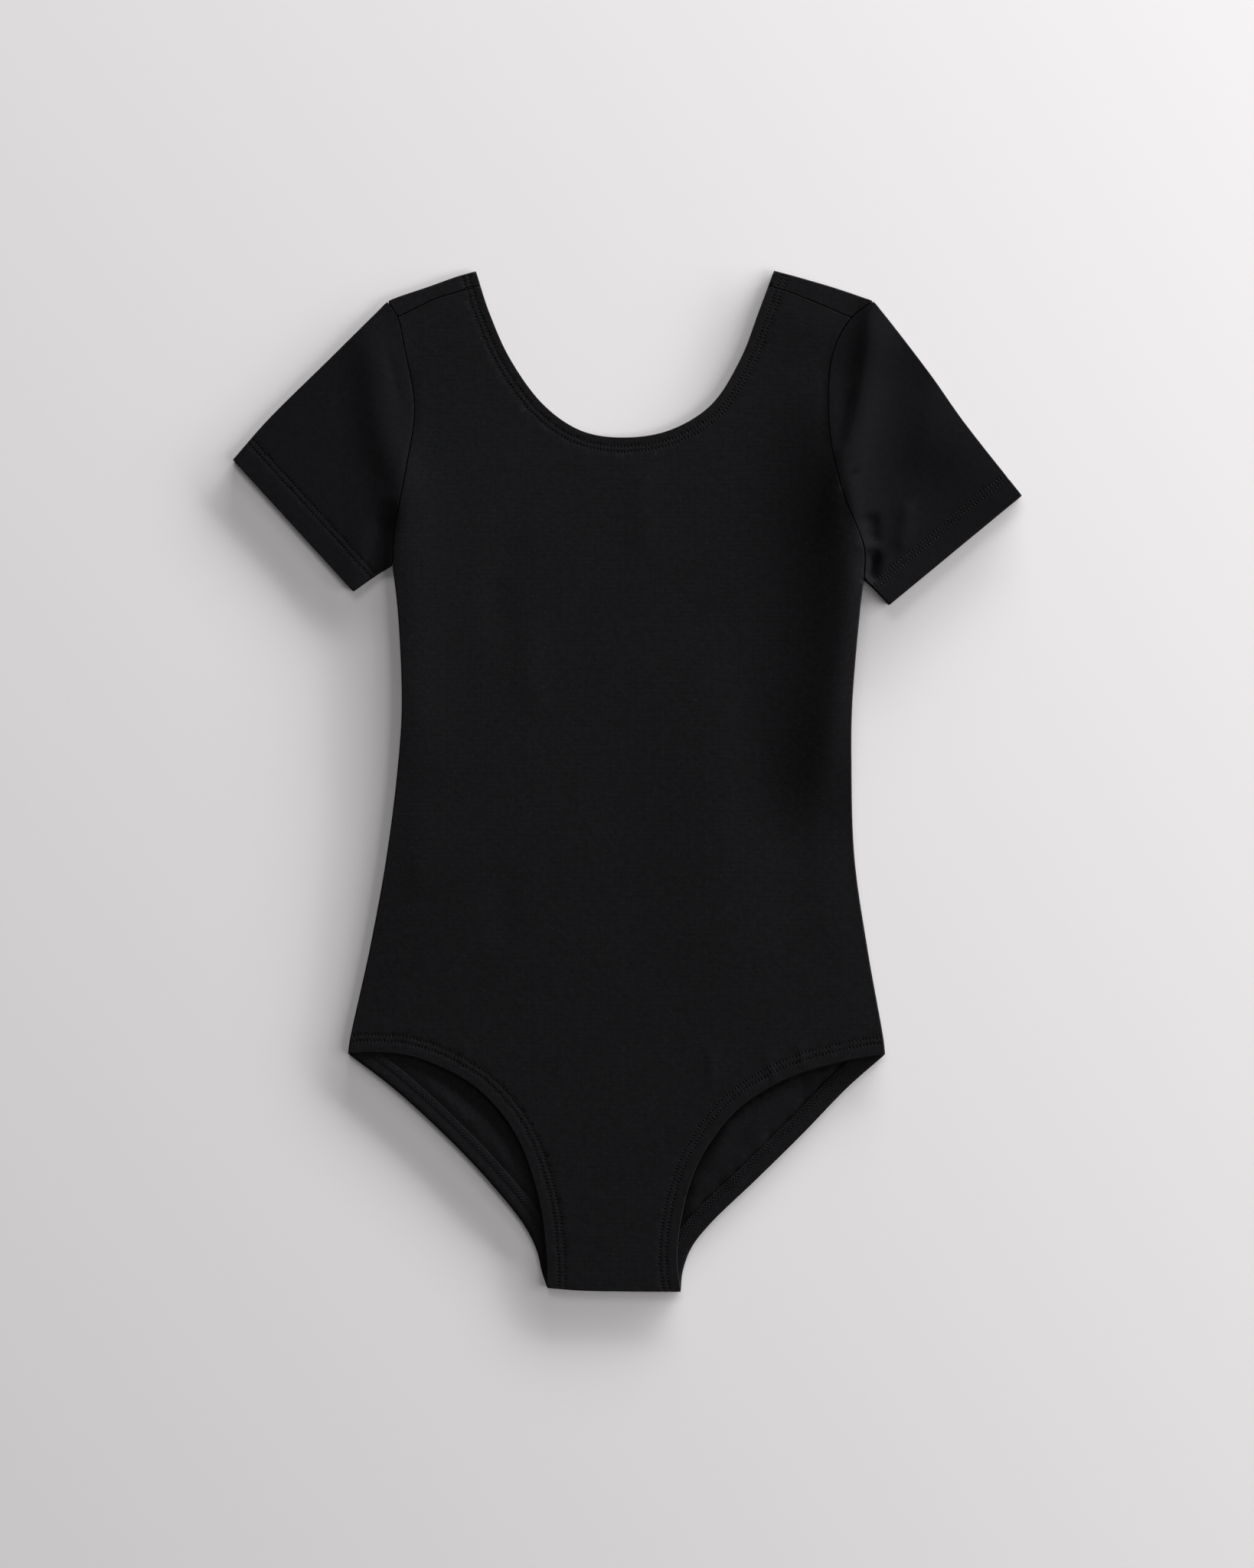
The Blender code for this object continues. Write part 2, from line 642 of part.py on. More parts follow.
def hem_rows(plan, edge, vectors, layer):
    """Outside and inside points of one half of a hem, a row of points across it at each step."""
    along = run(edge)
    distances = eased(along[-1])
    starts = at(edge, distances)
    reach = np.column_stack([np.interp(distances, along, vectors[:, axis]) for axis in (0, 1)])
    rows = []
    for share in (0.0, 0.5, 1.0):
        xy = starts + reach * share
        on_turn = np.zeros(len(xy), bool)
        on_turn[[0, -1]] = True
        rows.append(lift(plan, xy, on_turn, layer, ELASTIC_HEM, 0.0))
    outside = np.stack([row[0] for row in rows], axis=1)
    within = np.stack([row[1] for row in rows], axis=1)
    return outside, within


def hem(plan, name, halves, parent):
    """A ring of cloth turned over elastic, from its front half and its back half in plan."""
    cloth = Cloth()
    for layer, edge, vectors in halves:
        outside, within = hem_rows(plan, edge, vectors, layer)
        steps, wide = outside.shape[:2]
        faces = [
            (i * wide + j, (i + 1) * wide + j, (i + 1) * wide + j + 1, i * wide + j + 1)
            for i in range(steps - 1) for j in range(wide - 1)
        ]
        cloth.add(outside.reshape(-1, 3), within.reshape(-1, 3), faces, layer)
    return cloth.build(name, parent)


def main():
    for thing in list(bpy.data.objects):
        bpy.data.objects.remove(thing, do_unlink=True)
    garment = bpy.data.objects.new("leotard", None)
    bpy.context.scene.collection.objects.link(garment)
    plan = Plan()
    front_panel(plan, garment)
    back_panel(plan, garment)
    for hand in ("left", "right"):
        sleeve(plan, hand, garment)
    neck_halves = [(layer, plan.necks[layer], plan.across_neck(layer)) for layer in ("front", "back")]
    hem(plan, "neck_hem", neck_halves, garment)
    for hand in ("left", "right"):
        halves = [
            (layer, plan.legs[hand, layer], plan.across_leg(hand, layer))
            for layer in ("front", "back")
        ]
        hem(plan, "leg_hem_" + hand, halves, garment)


main()
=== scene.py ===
"""The looks of a child's black jersey leotard, laid flat on its back and seen from straight above.

The tables are in millimetres, like the ones that the solids were made from, and every mesh is
finished in metres. A piece is drawn in plan and then lifted to the height of its layer. The depth
of a point is its distance below the outside of the garment, so a hem's turning lies at a depth of
one cloth, and a thread that stands proud has a depth below nothing.
"""
import math

import bpy
import numpy as np
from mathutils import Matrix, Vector
from mathutils.geometry import delaunay_2d_cdt
from mathutils.kdtree import KDTree


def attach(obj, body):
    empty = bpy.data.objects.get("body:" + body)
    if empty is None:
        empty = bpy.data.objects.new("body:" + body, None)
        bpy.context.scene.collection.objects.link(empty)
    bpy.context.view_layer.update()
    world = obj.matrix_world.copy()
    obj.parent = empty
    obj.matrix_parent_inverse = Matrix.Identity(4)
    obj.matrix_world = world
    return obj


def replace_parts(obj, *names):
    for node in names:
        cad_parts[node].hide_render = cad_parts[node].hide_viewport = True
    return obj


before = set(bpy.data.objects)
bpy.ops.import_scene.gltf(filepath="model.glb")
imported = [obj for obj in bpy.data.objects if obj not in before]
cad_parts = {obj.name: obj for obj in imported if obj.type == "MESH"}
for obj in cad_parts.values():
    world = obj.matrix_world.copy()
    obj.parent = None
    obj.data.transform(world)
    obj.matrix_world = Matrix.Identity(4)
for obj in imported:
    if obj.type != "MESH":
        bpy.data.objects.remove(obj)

MM = 0.001

# Cloth, hems and seams
CLOTH = 0.7               # thickness of one layer of jersey
TURNING_TOP = 0.75        # depth at which the turned part of a hem begins
TURNING_BOTTOM = 1.55
NOSE = 0.6                # depth of a hem's rounded edge, and how far in it reaches
NOSE_REACH = 0.3
RIGHT_CUFF_REACH = 0.8    # the right cuff's upper edge is rounder, so it catches light
CUFF_THICKNESS = 1.3
CUFF_HEM = 15.6
CUFF_PEEK = 0.9           # how much further the lower layer of the right cuff reaches
NECK_HEM_WIDTH = 8.5
LEG_HEM_WIDTH = 10.5
SEAM_REACH = 0.5          # how far the cloth rolls down beside a seam
SEAM_DEPTH = 0.28
SEAM_GAP = 0.7
ALLOWANCE = 3.0           # width of the sewn edges that lie under a seam
ALLOWANCE_TOP = 1.0
ALLOWANCE_BOTTOM = 1.4

# How the two layers lie
EDGE_HEIGHT = 1.75
TURN_REACH = 0.7
HEM_HEIGHT = 3.5
LOWEST_FRONT = 1.75
UNDERSIDE = 0.12          # the back's outside is this far up, for the threads under it
OPENING_RISE = {"left": 0.55, "right": 0.75}
OPENING_SLOPE = {"left": 0.0, "right": 0.042}
OPENING_EDGE = 2.0        # the back rises to that height this far in from the opening's rim
FOLD_END = 0.3            # share of a fold's length over which it dies away
HEM_BLEND = 16.0
BACK_NECK_DEPTH = 2.0
CROTCH_WRAP = 14.0

# Rows of stitches, from the edge of their hem
NECK_ROWS = (4.9, 7.8)
LEG_ROWS = (6.3, 9.7)
CUFF_ROWS = (12.0, 15.1)
STITCH = 1.9
THREAD_RADIUS = 0.17
HOLE_DEPTH = 0.47
HOLE_RADIUS = 0.36
HOLE_JITTER = 0.1
GROOVE_DEPTH = 0.04       # of the cloth along a whole row
GROOVE_REACH = 0.8

# How finely the cloth is divided
LINE_STEP = 1.5
SPAN_POINTS = 30
EXTENSION = 3.0
NEARLY_ZERO = 1e-6
FRONT_STEP = 2.6
SLEEVE_STEP = 1.7
BACK_STEP = 4.0
EDGE_STEP = 1.2
CHUNK = 4000

# Edges in plan, as points on a smooth curve: x, y
LEFT_SIDE = (
    (-128.7, 118.2), (-125.8, 92.6), (-123.7, 42.2), (-125.8, 8.6),
    (-132.1, -41.8), (-141.3, -92.2), (-152.3, -142.6), (-153.1, -149.3),
)
RIGHT_SIDE = (
    (141.3, -149.8), (140.6, -142.6), (131.7, -92.2), (124.5, -41.8),
    (122.9, 8.6), (123.3, 42.2), (127.5, 92.6), (129.6, 110.3),
)
CROTCH_FOLD = ((-43.9, -277.8), (-26.0, -279.2), (0.0, -279.7), (29.2, -279.9))
LEFT_TOP = (
    (-83.0, 279.6), (-91.8, 277.2), (-110.3, 270.7), (-126.5, 265.2), (-131.3, 263.0),
    (-137.2, 257.3), (-163.6, 231.2), (-197.6, 197.6), (-216.3, 176.2),
)
RIGHT_TOP = (
    (216.3, 156.5), (183.8, 197.6), (166.1, 222.8), (139.6, 257.3),
    (134.6, 263.0), (129.0, 265.2), (112.8, 270.7), (90.5, 277.2), (80.4, 279.9),
)
LEFT_CUFF = ((-216.3, 176.2), (-150.2, 103.9))
RIGHT_CUFF = ((143.4, 96.4), (216.3, 156.5))
LEFT_UNDERARM = ((-150.2, 103.9), (-136.3, 113.6), (-128.7, 118.2))
RIGHT_UNDERARM = ((129.6, 110.3), (135.0, 105.2), (143.4, 96.4))
NECK = (
    (80.4, 279.9), (72.0, 257.3), (61.9, 231.2), (45.6, 206.0), (22.0, 192.0),
    (-4.4, 188.4), (-25.5, 192.2), (-45.6, 206.0), (-64.1, 231.2), (-75.8, 257.3), (-83.0, 279.6),
)
LEFT_ARMHOLE_FRONT = (
    (-131.3, 263.0), (-125.8, 253.9), (-122.0, 236.7), (-116.6, 204.0),
    (-121.2, 172.0), (-127.9, 135.5), (-128.7, 118.2),
)
RIGHT_ARMHOLE_FRONT = (
    (129.6, 110.3), (129.4, 128.0), (117.8, 158.1), (110.4, 193.0),
    (112.4, 234.2), (122.4, 253.5), (134.6, 263.0),
)
LEFT_ARMHOLE_BACK = (
    (-131.3, 263.0), (-121.0, 236.0), (-119.0, 200.0), (-123.0, 155.0), (-128.7, 118.2),
)
RIGHT_ARMHOLE_BACK = (
    (129.6, 110.3), (123.0, 155.0), (117.0, 200.0), (120.0, 236.0), (134.6, 263.0),
)
LEFT_SHOULDER_SEAM = ((-80.4, 272.0), (-95.6, 267.3), (-104.0, 264.8), (-125.8, 254.4))
RIGHT_SHOULDER_SEAM = ((76.2, 271.7), (86.7, 268.6), (104.5, 261.6), (122.4, 253.9))
LEFT_LEG_FRONT = (
    (-153.1, -149.3), (-138.4, -148.6), (-117.4, -151.0), (-89.7, -163.2), (-75.8, -174.5),
    (-64.5, -188.4), (-56.5, -203.9), (-48.1, -231.6), (-44.6, -258.0), (-43.9, -277.8),
)
RIGHT_LEG_FRONT = (
    (29.2, -279.9), (27.3, -260.0), (31.3, -231.2), (37.6, -211.9), (46.4, -196.4),
    (59.4, -180.8), (75.0, -169.5), (94.3, -160.2), (127.5, -151.6), (141.3, -149.8),
)
LEFT_LEG_BACK = (
    (-153.1, -149.3), (-128.7, -167.8), (-101.0, -193.0), (-76.7, -218.2),
    (-56.5, -243.4), (-49.6, -257.5), (-47.0, -268.6), (-43.9, -277.8),
)
RIGHT_LEG_BACK = (
    (29.2, -279.9), (30.4, -268.6), (35.0, -256.0), (44.7, -243.4),
    (70.8, -218.2), (96.4, -193.0), (120.8, -167.8), (141.3, -149.8),
)

# Soft folds of the front layer: points of the crest in plan, height, and how far the slopes reach
# to the left and to the right of the crest's direction
FOLDS = (
    # The right side: the front climbs to its seam, and the sleeve beside it falls slowly
    (((113.6, 260.6), (116.5, 210.2), (120.8, 168.2), (124.1, 130.4), (124.9, 101.0),
      (122.4, 75.8), (118.2, 52.7), (112.3, 29.6), (104.4, 4.4), (90.1, -37.6)),
     3.3, (100.0, 34.0), 26.0),
    (((121.2, 222.8), (123.3, 176.6), (122.4, 134.6), (119.9, 92.6), (115.3, 50.6),
      (108.6, 12.8), (103.5, -12.4), (97.6, -41.8)), 1.05, (15.0, 9.0), 15.0),
    (((121.2, 201.8), (123.3, 159.8), (122.4, 117.8), (119.5, 84.2), (115.3, 50.6),
      (109.4, 21.2)), 0.35, (12.0, 9.0), 15.0),
    (((108.6, -16.6), (107.7, -54.4), (115.7, -100.6)), 0.2, 12.0, 14.0),
    # A low swell above the right leg
    (((47.2, 101.0), (46.4, 50.6), (48.9, -8.2), (52.7, -58.6), (54.8, -96.4), (61.1, -146.8)),
     0.5, (9.0, 34.0), 30.0),
    # The left side stands up a little along its seam
    (((-122.4, 176.6), (-122.4, 117.8), (-120.8, 67.4), (-119.1, 25.4), (-119.1, -16.6)),
     0.8, 17.0, 18.0),
    (((-117.4, 0.2), (-114.0, -33.4), (-116.1, -67.0)), 0.2, 12.0, 8.0),
    (((-115.3, 227.0), (-117.4, 92.6), (-123.7, -12.4), (-134.2, -130.0)), 1, 75.0, 30.0),
    # The right shoulder
    (((143.0, 332.0), (128.3, 269.0), (119.9, 218.6)), 1, 60.0, 45.0),
    # Shallow waves across the chest and the waist
    (((8.6, 180.8), (7.8, 151.4), (10.7, 117.8)), 0.22, 9.0, 9.0),
    (((-50.2, 92.6), (-54.4, 63.2), (-48.1, 33.8)), 0.22, 8.0, 8.0),
    (((-54.4, 143.0), (-71.2, 109.4), (-67.0, 67.4)), -0.25, 10.0, 8.0),
    (((-63.6, -41.8), (-69.1, -67.0), (-64.9, -96.4)), -0.2, 9.0, 8.0),
    # The left sleeve head rolls over beside its seam
    (((-143.4, 262.7), (-139.2, 233.3), (-136.7, 206.0), (-131.7, 185.0), (-124.9, 166.1),
      (-121.6, 134.6)), 1.05, 12.0, 11.0),
    (((-132.9, 241.7), (-129.2, 224.9), (-124.1, 203.9)), -0.14, 2.5, 2.5),
    (((-122.4, 239.6), (-116.1, 206.0), (-120.3, 176.6), (-125.8, 151.4)), -0.22, 1.5, 1.5),
    # The pocket under the left arm
    (((-128.3, 156.4), (-131.2, 136.7), (-134.2, 119.9), (-136.7, 92.6)), -1.7, 3.4, 9.0),
    # The right sleeve head has a hollow, then a roll
    (((138.0, 285.8), (133.3, 252.2), (130.0, 227.0), (126.6, 206.0), (122.0, 188.4),
      (117.0, 175.8), (111.1, 157.7), (107.3, 138.8), (105.2, 126.2)), 1.6, 11.5, 5.0),
    (((117.0, 252.2), (112.8, 235.4), (110.7, 214.4), (111.1, 193.4), (115.3, 168.2)),
     0.28, 6.0, 1.5),
    (((122.8, 216.5), (119.5, 201.8), (116.5, 190.0), (113.2, 177.4)), -0.5, 4.0, 2.5),
    (((115.3, 159.0), (119.9, 164.8), (126.6, 171.6)), -0.45, 1.4, 1.4),
    (((118.6, 176.6), (122.0, 155.6), (125.8, 136.7), (128.3, 115.7)), 0.3, 5.0, 2.5),
    # Puckers above the right armpit
    (((134.2, 148.0), (133.8, 137.1), (134.2, 127.9)), -0.8, 3.6, 6.5),
    (((135.9, 127.5), (135.0, 117.8), (132.9, 107.7)), -1.4, 2.8, 4.2),
    (((153.9, 156.4), (151.4, 138.8), (147.2, 122.8)), 0.45, 5.0, 4.0),
    (((168.2, 277.4), (169.9, 231.2), (165.7, 193.4), (158.1, 159.8)), 0.6, 30.0, 11.0),
    # The right sleeve is highest along its fold
    (((122.0, 273.2), (151.4, 250.1), (185.0, 199.7), (216.5, 155.6), (235.4, 126.2)),
     2, 6.0, 38.0),
    # Little pleats above the leg hems
    (((92.6, -139.2), (95.1, -148.9), (96.8, -159.4)), 0.16, 2.2, 2.2),
    (((75.8, -143.4), (78.3, -155.2), (80.8, -166.9)), 0.14, 2.4, 2.4),
    (((44.3, -142.6), (46.4, -157.3), (44.3, -172.0)), 0.2, 3.0, 3.0),
    (((-92.2, -138.4), (-90.5, -147.6), (-91.3, -157.7)), 0.12, 2.4, 2.4),
)

# Where the back stands off the surface, in the same way
LOWER_FOLDS = (
    # The left leg's edge stands off the surface
    (((-176.2, -130.0), (-163.6, -136.3), (-128.7, -167.8), (-101.0, -193.0), (-76.6, -218.2),
      (-56.5, -243.4), (-49.4, -271.9)), 1.7, 30.0, 30.0),
    # The right leg's edge stands off it less
    (((172.4, -130.0), (143.0, -146.8), (120.8, -167.8), (96.4, -193.0), (70.8, -218.2),
      (44.7, -243.4), (31.7, -277.0)), 0.25, 30.0, 30.0),
    # Slanting folds in the right opening
    (((111.5, -153.1), (101.0, -161.5), (93.5, -176.2)), -0.3, 3.0, 3.0),
    (((95.1, -165.7), (75.8, -181.2), (62.4, -201.4)), 0.45, 4.5, 3.0),
    (((80.8, -193.0), (65.3, -205.6), (52.7, -226.6)), 0.35, 4.0, 3.0),
    (((69.5, -174.1), (54.8, -193.0), (44.3, -218.2)), 0.3, 5.0, 3.0),
    # and in the left one
    (((-115.3, -159.4), (-96.4, -176.2), (-75.4, -193.0)), 0.2, 4.0, 4.0),
    (((-83.8, -176.2), (-71.2, -197.2), (-61.9, -218.2)), 0.15, 4.0, 4.0),
)


def unit(vectors):
    """Vectors brought to length one."""
    return vectors / np.linalg.norm(vectors, axis=-1, keepdims=True)


def run(line):
    """Distance from the start of a line to each of its points."""
    return np.concatenate([[0.0], np.cumsum(np.linalg.norm(np.diff(line, axis=0), axis=1))])


def at(line, distances):
    """Points of a line at the given distances along it."""
    along = run(line)
    return np.column_stack([np.interp(distances, along, line[:, axis]) for axis in (0, 1)])


def between(a, b, time_a, time_b, time):
    """The point at a time between two timed points."""
    return (a * (time_b - time) + b * (time - time_a)) / (time_b - time_a)


def curve(points, step=LINE_STEP):
    """A line of evenly spaced points on a smooth curve through the given points."""
    p = np.array(points, float)
    p = np.vstack([2 * p[0] - p[1], p, 2 * p[-1] - p[-2]])
    t = np.concatenate([[0.0], np.cumsum(np.sqrt(np.linalg.norm(np.diff(p, axis=0), axis=1)))])
    line = [p[1]]
    for i in range(1, len(p) - 2):
        for time in np.linspace(t[i], t[i + 1], SPAN_POINTS)[1:]:
            a = between(p[i - 1], p[i], t[i - 1], t[i], time)
            b = between(p[i], p[i + 1], t[i], t[i + 1], time)
            c = between(p[i + 1], p[i + 2], t[i + 1], t[i + 2], time)
            d = between(a, b, t[i - 1], t[i + 1], time)
            e = between(b, c, t[i], t[i + 2], time)
            line.append(between(d, e, t[i], t[i + 1], time))
    return spaced(np.array(line), step)


def spaced(line, step):
    """A line with its points moved to even steps, its ends kept."""
    length = run(line)[-1]
    return at(line, np.linspace(0, length, max(2, round(length / step) + 1)))


def stretch(line, start, end):
    """The part of a line between two distances; an end of zero or less counts from its end."""
    along = run(line)
    end = along[-1] + end if end <= 0 else end
    kept = line[(along > start + NEARLY_ZERO) & (along < end - NEARLY_ZERO)]
    return np.vstack([at(line, [start]), kept, at(line, [end])])


def left_of(line):
    """Unit vectors to the left of a line at each of its points."""
    ahead = unit(np.gradient(line, axis=0))
    return np.column_stack([-ahead[:, 1], ahead[:, 0]])


def moved(line, distance):
    """A line moved into the cloth on its left."""
    return line + left_of(line) * distance


def longer(line):
    """A line carried straight on at both ends."""
    first = line[0] - EXTENSION * unit(line[1] - line[0])
    last = line[-1] + EXTENSION * unit(line[-1] - line[-2])
    return np.vstack([first, line, last])


def crossing(line, other):
    """Distance along a line to where it crosses another."""
    along = run(line)
    start = line[:-1, None]
    step = np.diff(line, axis=0)[:, None]
    other_start = other[None, :-1]
    other_step = np.diff(other, axis=0)[None]
    cross = step[..., 0] * other_step[..., 1] - step[..., 1] * other_step[..., 0]
    gap = other_start - start
    safe = np.where(np.abs(cross) < NEARLY_ZERO, NEARLY_ZERO, cross)
    s = (gap[..., 0] * other_step[..., 1] - gap[..., 1] * other_step[..., 0]) / safe
    t = (gap[..., 0] * step[..., 1] - gap[..., 1] * step[..., 0]) / safe
    i, j = np.argwhere((s >= 0) & (s <= 1) & (t >= 0) & (t <= 1))[0]
    return along[i] + s[i, j] * (along[i + 1] - along[i])


def trimmed(line, after=None, before=None):
    """The part of a line after it crosses one line and before it crosses another."""
    line = longer(line)
    start = EXTENSION if after is None else crossing(line, longer(after))
    end = -EXTENSION if before is None else crossing(line, longer(before))
    return stretch(line, start, end)


def in_parts(xy):
    """The points in parts that are quick to work on."""
    return np.array_split(xy, len(xy) // CHUNK + 1)


def nearest(xy, line):
    """For each point its distance to a line, the line's left direction there, the share of the
    line that lies behind, and whether the point is on the left."""
    side = left_of(line)
    start, step = line[:-1], np.diff(line, axis=0)
    found = []
    for part in in_parts(xy):
        reach = part[:, None] - start[None]
        share = np.clip((reach * step).sum(-1) / (step ** 2).sum(-1), 0, 1)
        away = np.linalg.norm(reach - share[..., None] * step, axis=-1)
        best = away.argmin(axis=1)
        pick = np.arange(len(part)), best
        mix = share[pick][:, None]
        facing = unit(side[best] * (1 - mix) + side[best + 1] * mix)
        on_left = ((reach[pick] - mix * step[best]) * facing).sum(-1) > 0
        found.append((away[pick], facing, (best + share[pick]) / len(step), on_left))
    return [np.concatenate(column) for column in zip(*found)]


def beside(xy, line, reach):
    """Whether each point is so close to a line's box that it may be within reach of the line."""
    return ((xy > line.min(axis=0) - reach) & (xy < line.max(axis=0) + reach)).all(axis=1)


def within(xy, loop):
    """Whether each point is inside a closed line."""
    a, b = loop[None], np.roll(loop, -1, axis=0)[None]
    answer = []
    for part in in_parts(xy):
        x, y = part[:, 0, None], part[:, 1, None]
        spans = (a[..., 1] > y) != (b[..., 1] > y)
        rise = np.where(spans, b[..., 1] - a[..., 1], 1.0)
        at_x = a[..., 0] + (y - a[..., 1]) / rise * (b[..., 0] - a[..., 0])
        answer.append((spans & (x < at_x)).sum(axis=1) % 2 == 1)
    return np.concatenate(answer)


def fade(distance, full, reach):
    """One up to a full distance, easing to nothing over the reach beyond it."""
    return 0.5 + 0.5 * np.cos(np.pi * np.clip((distance - full) / reach, 0, 1))


def quarter_round(distance, radius):
    """How far a rounded edge has dropped at a distance in from it, as a share of its depth."""
    return 1 - np.sqrt(1 - np.clip(1 - distance / radius, 0, 1) ** 2)


def across(edge, width, first, last):
    """Vectors across a hem. They point into the cloth, and at both ends to a given point."""
    along = run(edge)[:, None]
    to_first = fade(along, 0, HEM_BLEND)
    to_last = fade(along[-1] - along, 0, HEM_BLEND)
    square = left_of(edge) * width
    square = square * (1 - to_first) + (first - edge[0]) * to_first
    return square * (1 - to_last) + (last - edge[-1]) * to_last


class Plan:
    """The garment's edges in plan, as lines worked out from the tables."""

    def __init__(self):
        self.sides = {"left": curve(LEFT_SIDE), "right": curve(RIGHT_SIDE)}
        self.tops = {"left": curve(LEFT_TOP), "right": curve(RIGHT_TOP)}
        self.underarms = {"left": curve(LEFT_UNDERARM), "right": curve(RIGHT_UNDERARM)}
        left, right = curve(LEFT_CUFF), curve(RIGHT_CUFF)
        peek = np.clip((np.linspace(0, 1, len(right))[:, None] - 0.45) / 0.5, 0, 1)
        self.cuffs = {
            ("left", "front"): left,
            ("left", "back"): left,
            ("right", "front"): right + left_of(right) * CUFF_PEEK * np.sin(np.pi * peek) ** 2,
            ("right", "back"): right,
        }
        self.crotch = curve(CROTCH_FOLD)
        self.armholes = {
            ("left", "front"): curve(LEFT_ARMHOLE_FRONT),
            ("right", "front"): curve(RIGHT_ARMHOLE_FRONT),
            ("left", "back"): curve(LEFT_ARMHOLE_BACK),
            ("right", "back"): curve(RIGHT_ARMHOLE_BACK),
        }
        self.shoulder_seams = {
            "left": curve(LEFT_SHOULDER_SEAM),
            "right": curve(RIGHT_SHOULDER_SEAM),
        }
        neck = curve(NECK)
        share = np.linspace(0, 1, len(neck))[:, None]
        self.necks = {
            "front": neck,
            "back": neck + left_of(neck) * BACK_NECK_DEPTH * np.sqrt(np.sin(np.pi * share)),
        }
        self.legs = {
            ("left", "front"): curve(LEFT_LEG_FRONT),
            ("left", "back"): curve(LEFT_LEG_BACK),
            ("right", "front"): curve(RIGHT_LEG_FRONT),
            ("right", "back"): curve(RIGHT_LEG_BACK),
        }
        self.tips = {
            hand: crossing(self.tops[hand], longer(self.armholes[hand, "front"]))
            for hand in ("left", "right")
        }
        # Turned edges, and whether a seam runs along them
        self.turned = [
            (self.sides["left"], True),
            (self.sides["right"], True),
            (self.underarms["left"], True),
            (self.underarms["right"], True),
            (self.tops["left"], False),
            (self.tops["right"], False),
            (self.crotch, False),
        ]
        self.folds = [(curve(points, 4.0), *rest) for points, *rest in FOLDS]
        self.lower_folds = [(curve(points, 4.0), *rest) for points, *rest in LOWER_FOLDS]
        self.openings = {
            hand: (self.row("leg", hand, "back", LEG_HEM_WIDTH), self.legs[hand, "front"])
            for hand in ("left", "right")
        }

    def across_neck(self, layer):
        """Vectors from the neck edge to the inner edge of its hem."""
        first = at(self.tops["right"], [run(self.tops["right"])[-1] - NECK_HEM_WIDTH])[0]
        last = at(self.tops["left"], [NECK_HEM_WIDTH])[0]
        return across(self.necks[layer], NECK_HEM_WIDTH, first, last)

    def across_leg(self, hand, layer):
        """Vectors from a leg edge to the inner edge of its hem."""
        side = self.sides[hand]
        if hand == "left":
            corner = at(side, [run(side)[-1] - LEG_HEM_WIDTH])[0]
            fold = at(self.crotch, [LEG_HEM_WIDTH])[0]
            return across(self.legs[hand, layer], LEG_HEM_WIDTH, corner, fold)
        corner = at(side, [LEG_HEM_WIDTH])[0]
        fold = at(self.crotch, [run(self.crotch)[-1] - LEG_HEM_WIDTH])[0]
        return across(self.legs[hand, layer], LEG_HEM_WIDTH, fold, corner)

    def row(self, kind, hand, layer, distance):
        """A line that runs along a hem at a distance from its edge."""
        if kind == "neck":
            return self.necks[layer] + self.across_neck(layer) * distance / NECK_HEM_WIDTH
        if kind == "leg":
            return self.legs[hand, layer] + self.across_leg(hand, layer) * distance / LEG_HEM_WIDTH
        line = moved(self.cuffs[hand, layer], distance)
        if hand == "left":
            return trimmed(line, self.tops[hand], self.underarms[hand])
        return trimmed(line, self.underarms[hand], self.tops[hand])


PLAN = Plan()


def taper(share):
    """One along the middle of a fold, easing to nothing at both its ends."""
    return 0.5 - 0.5 * np.cos(np.pi * np.clip(np.minimum(share, 1 - share) / FOLD_END, 0, 1))


def raised(xy, folds):
    """Height that folds add at some points."""
    height = np.zeros(len(xy))
    for line, rise, left, right in folds:
        left = np.broadcast_to(left, 2)
        near = beside(xy, line, 2.5 * max(*left, right))
        if near.any():
            away, _, share, on_left = nearest(xy[near], line)
            reach = np.where(on_left, np.interp(share, (0, 1), left), right)
            slope = np.exp(-(away / reach) ** 2)
            height[near] += rise * taper(share) * slope
    return height


def front_height(xy):
    """Height of the outside of the front layer before its seams and hems are drawn in."""
    return np.maximum(HEM_HEIGHT + raised(xy, PLAN.folds), LOWEST_FRONT)


def in_opening(xy, hand):
    """How far the back bulges up into a leg opening."""
    bulge = np.zeros(len(xy))
    inner, upper = PLAN.openings[hand]
    near = beside(xy, inner, 0.0)
    if near.any():
        from_inner, _, _, past_inner = nearest(xy[near], inner)
        from_upper, _, _, under_front = nearest(xy[near], upper)
        share = (1 - fade(from_inner, 0, OPENING_EDGE)) * (1 - fade(from_upper, 0, OPENING_EDGE))
        full = OPENING_RISE[hand] + OPENING_SLOPE[hand] * from_inner
        bulge[near] = np.where(past_inner & ~under_front, share * full, 0.0)
    return bulge


def back_height(xy):
    """Height of the outside of the back layer, which is its underside."""
    height = UNDERSIDE + raised(xy, PLAN.lower_folds)
    for hand in ("left", "right"):
        height = height + in_opening(xy, hand)
    return np.maximum(height, UNDERSIDE)


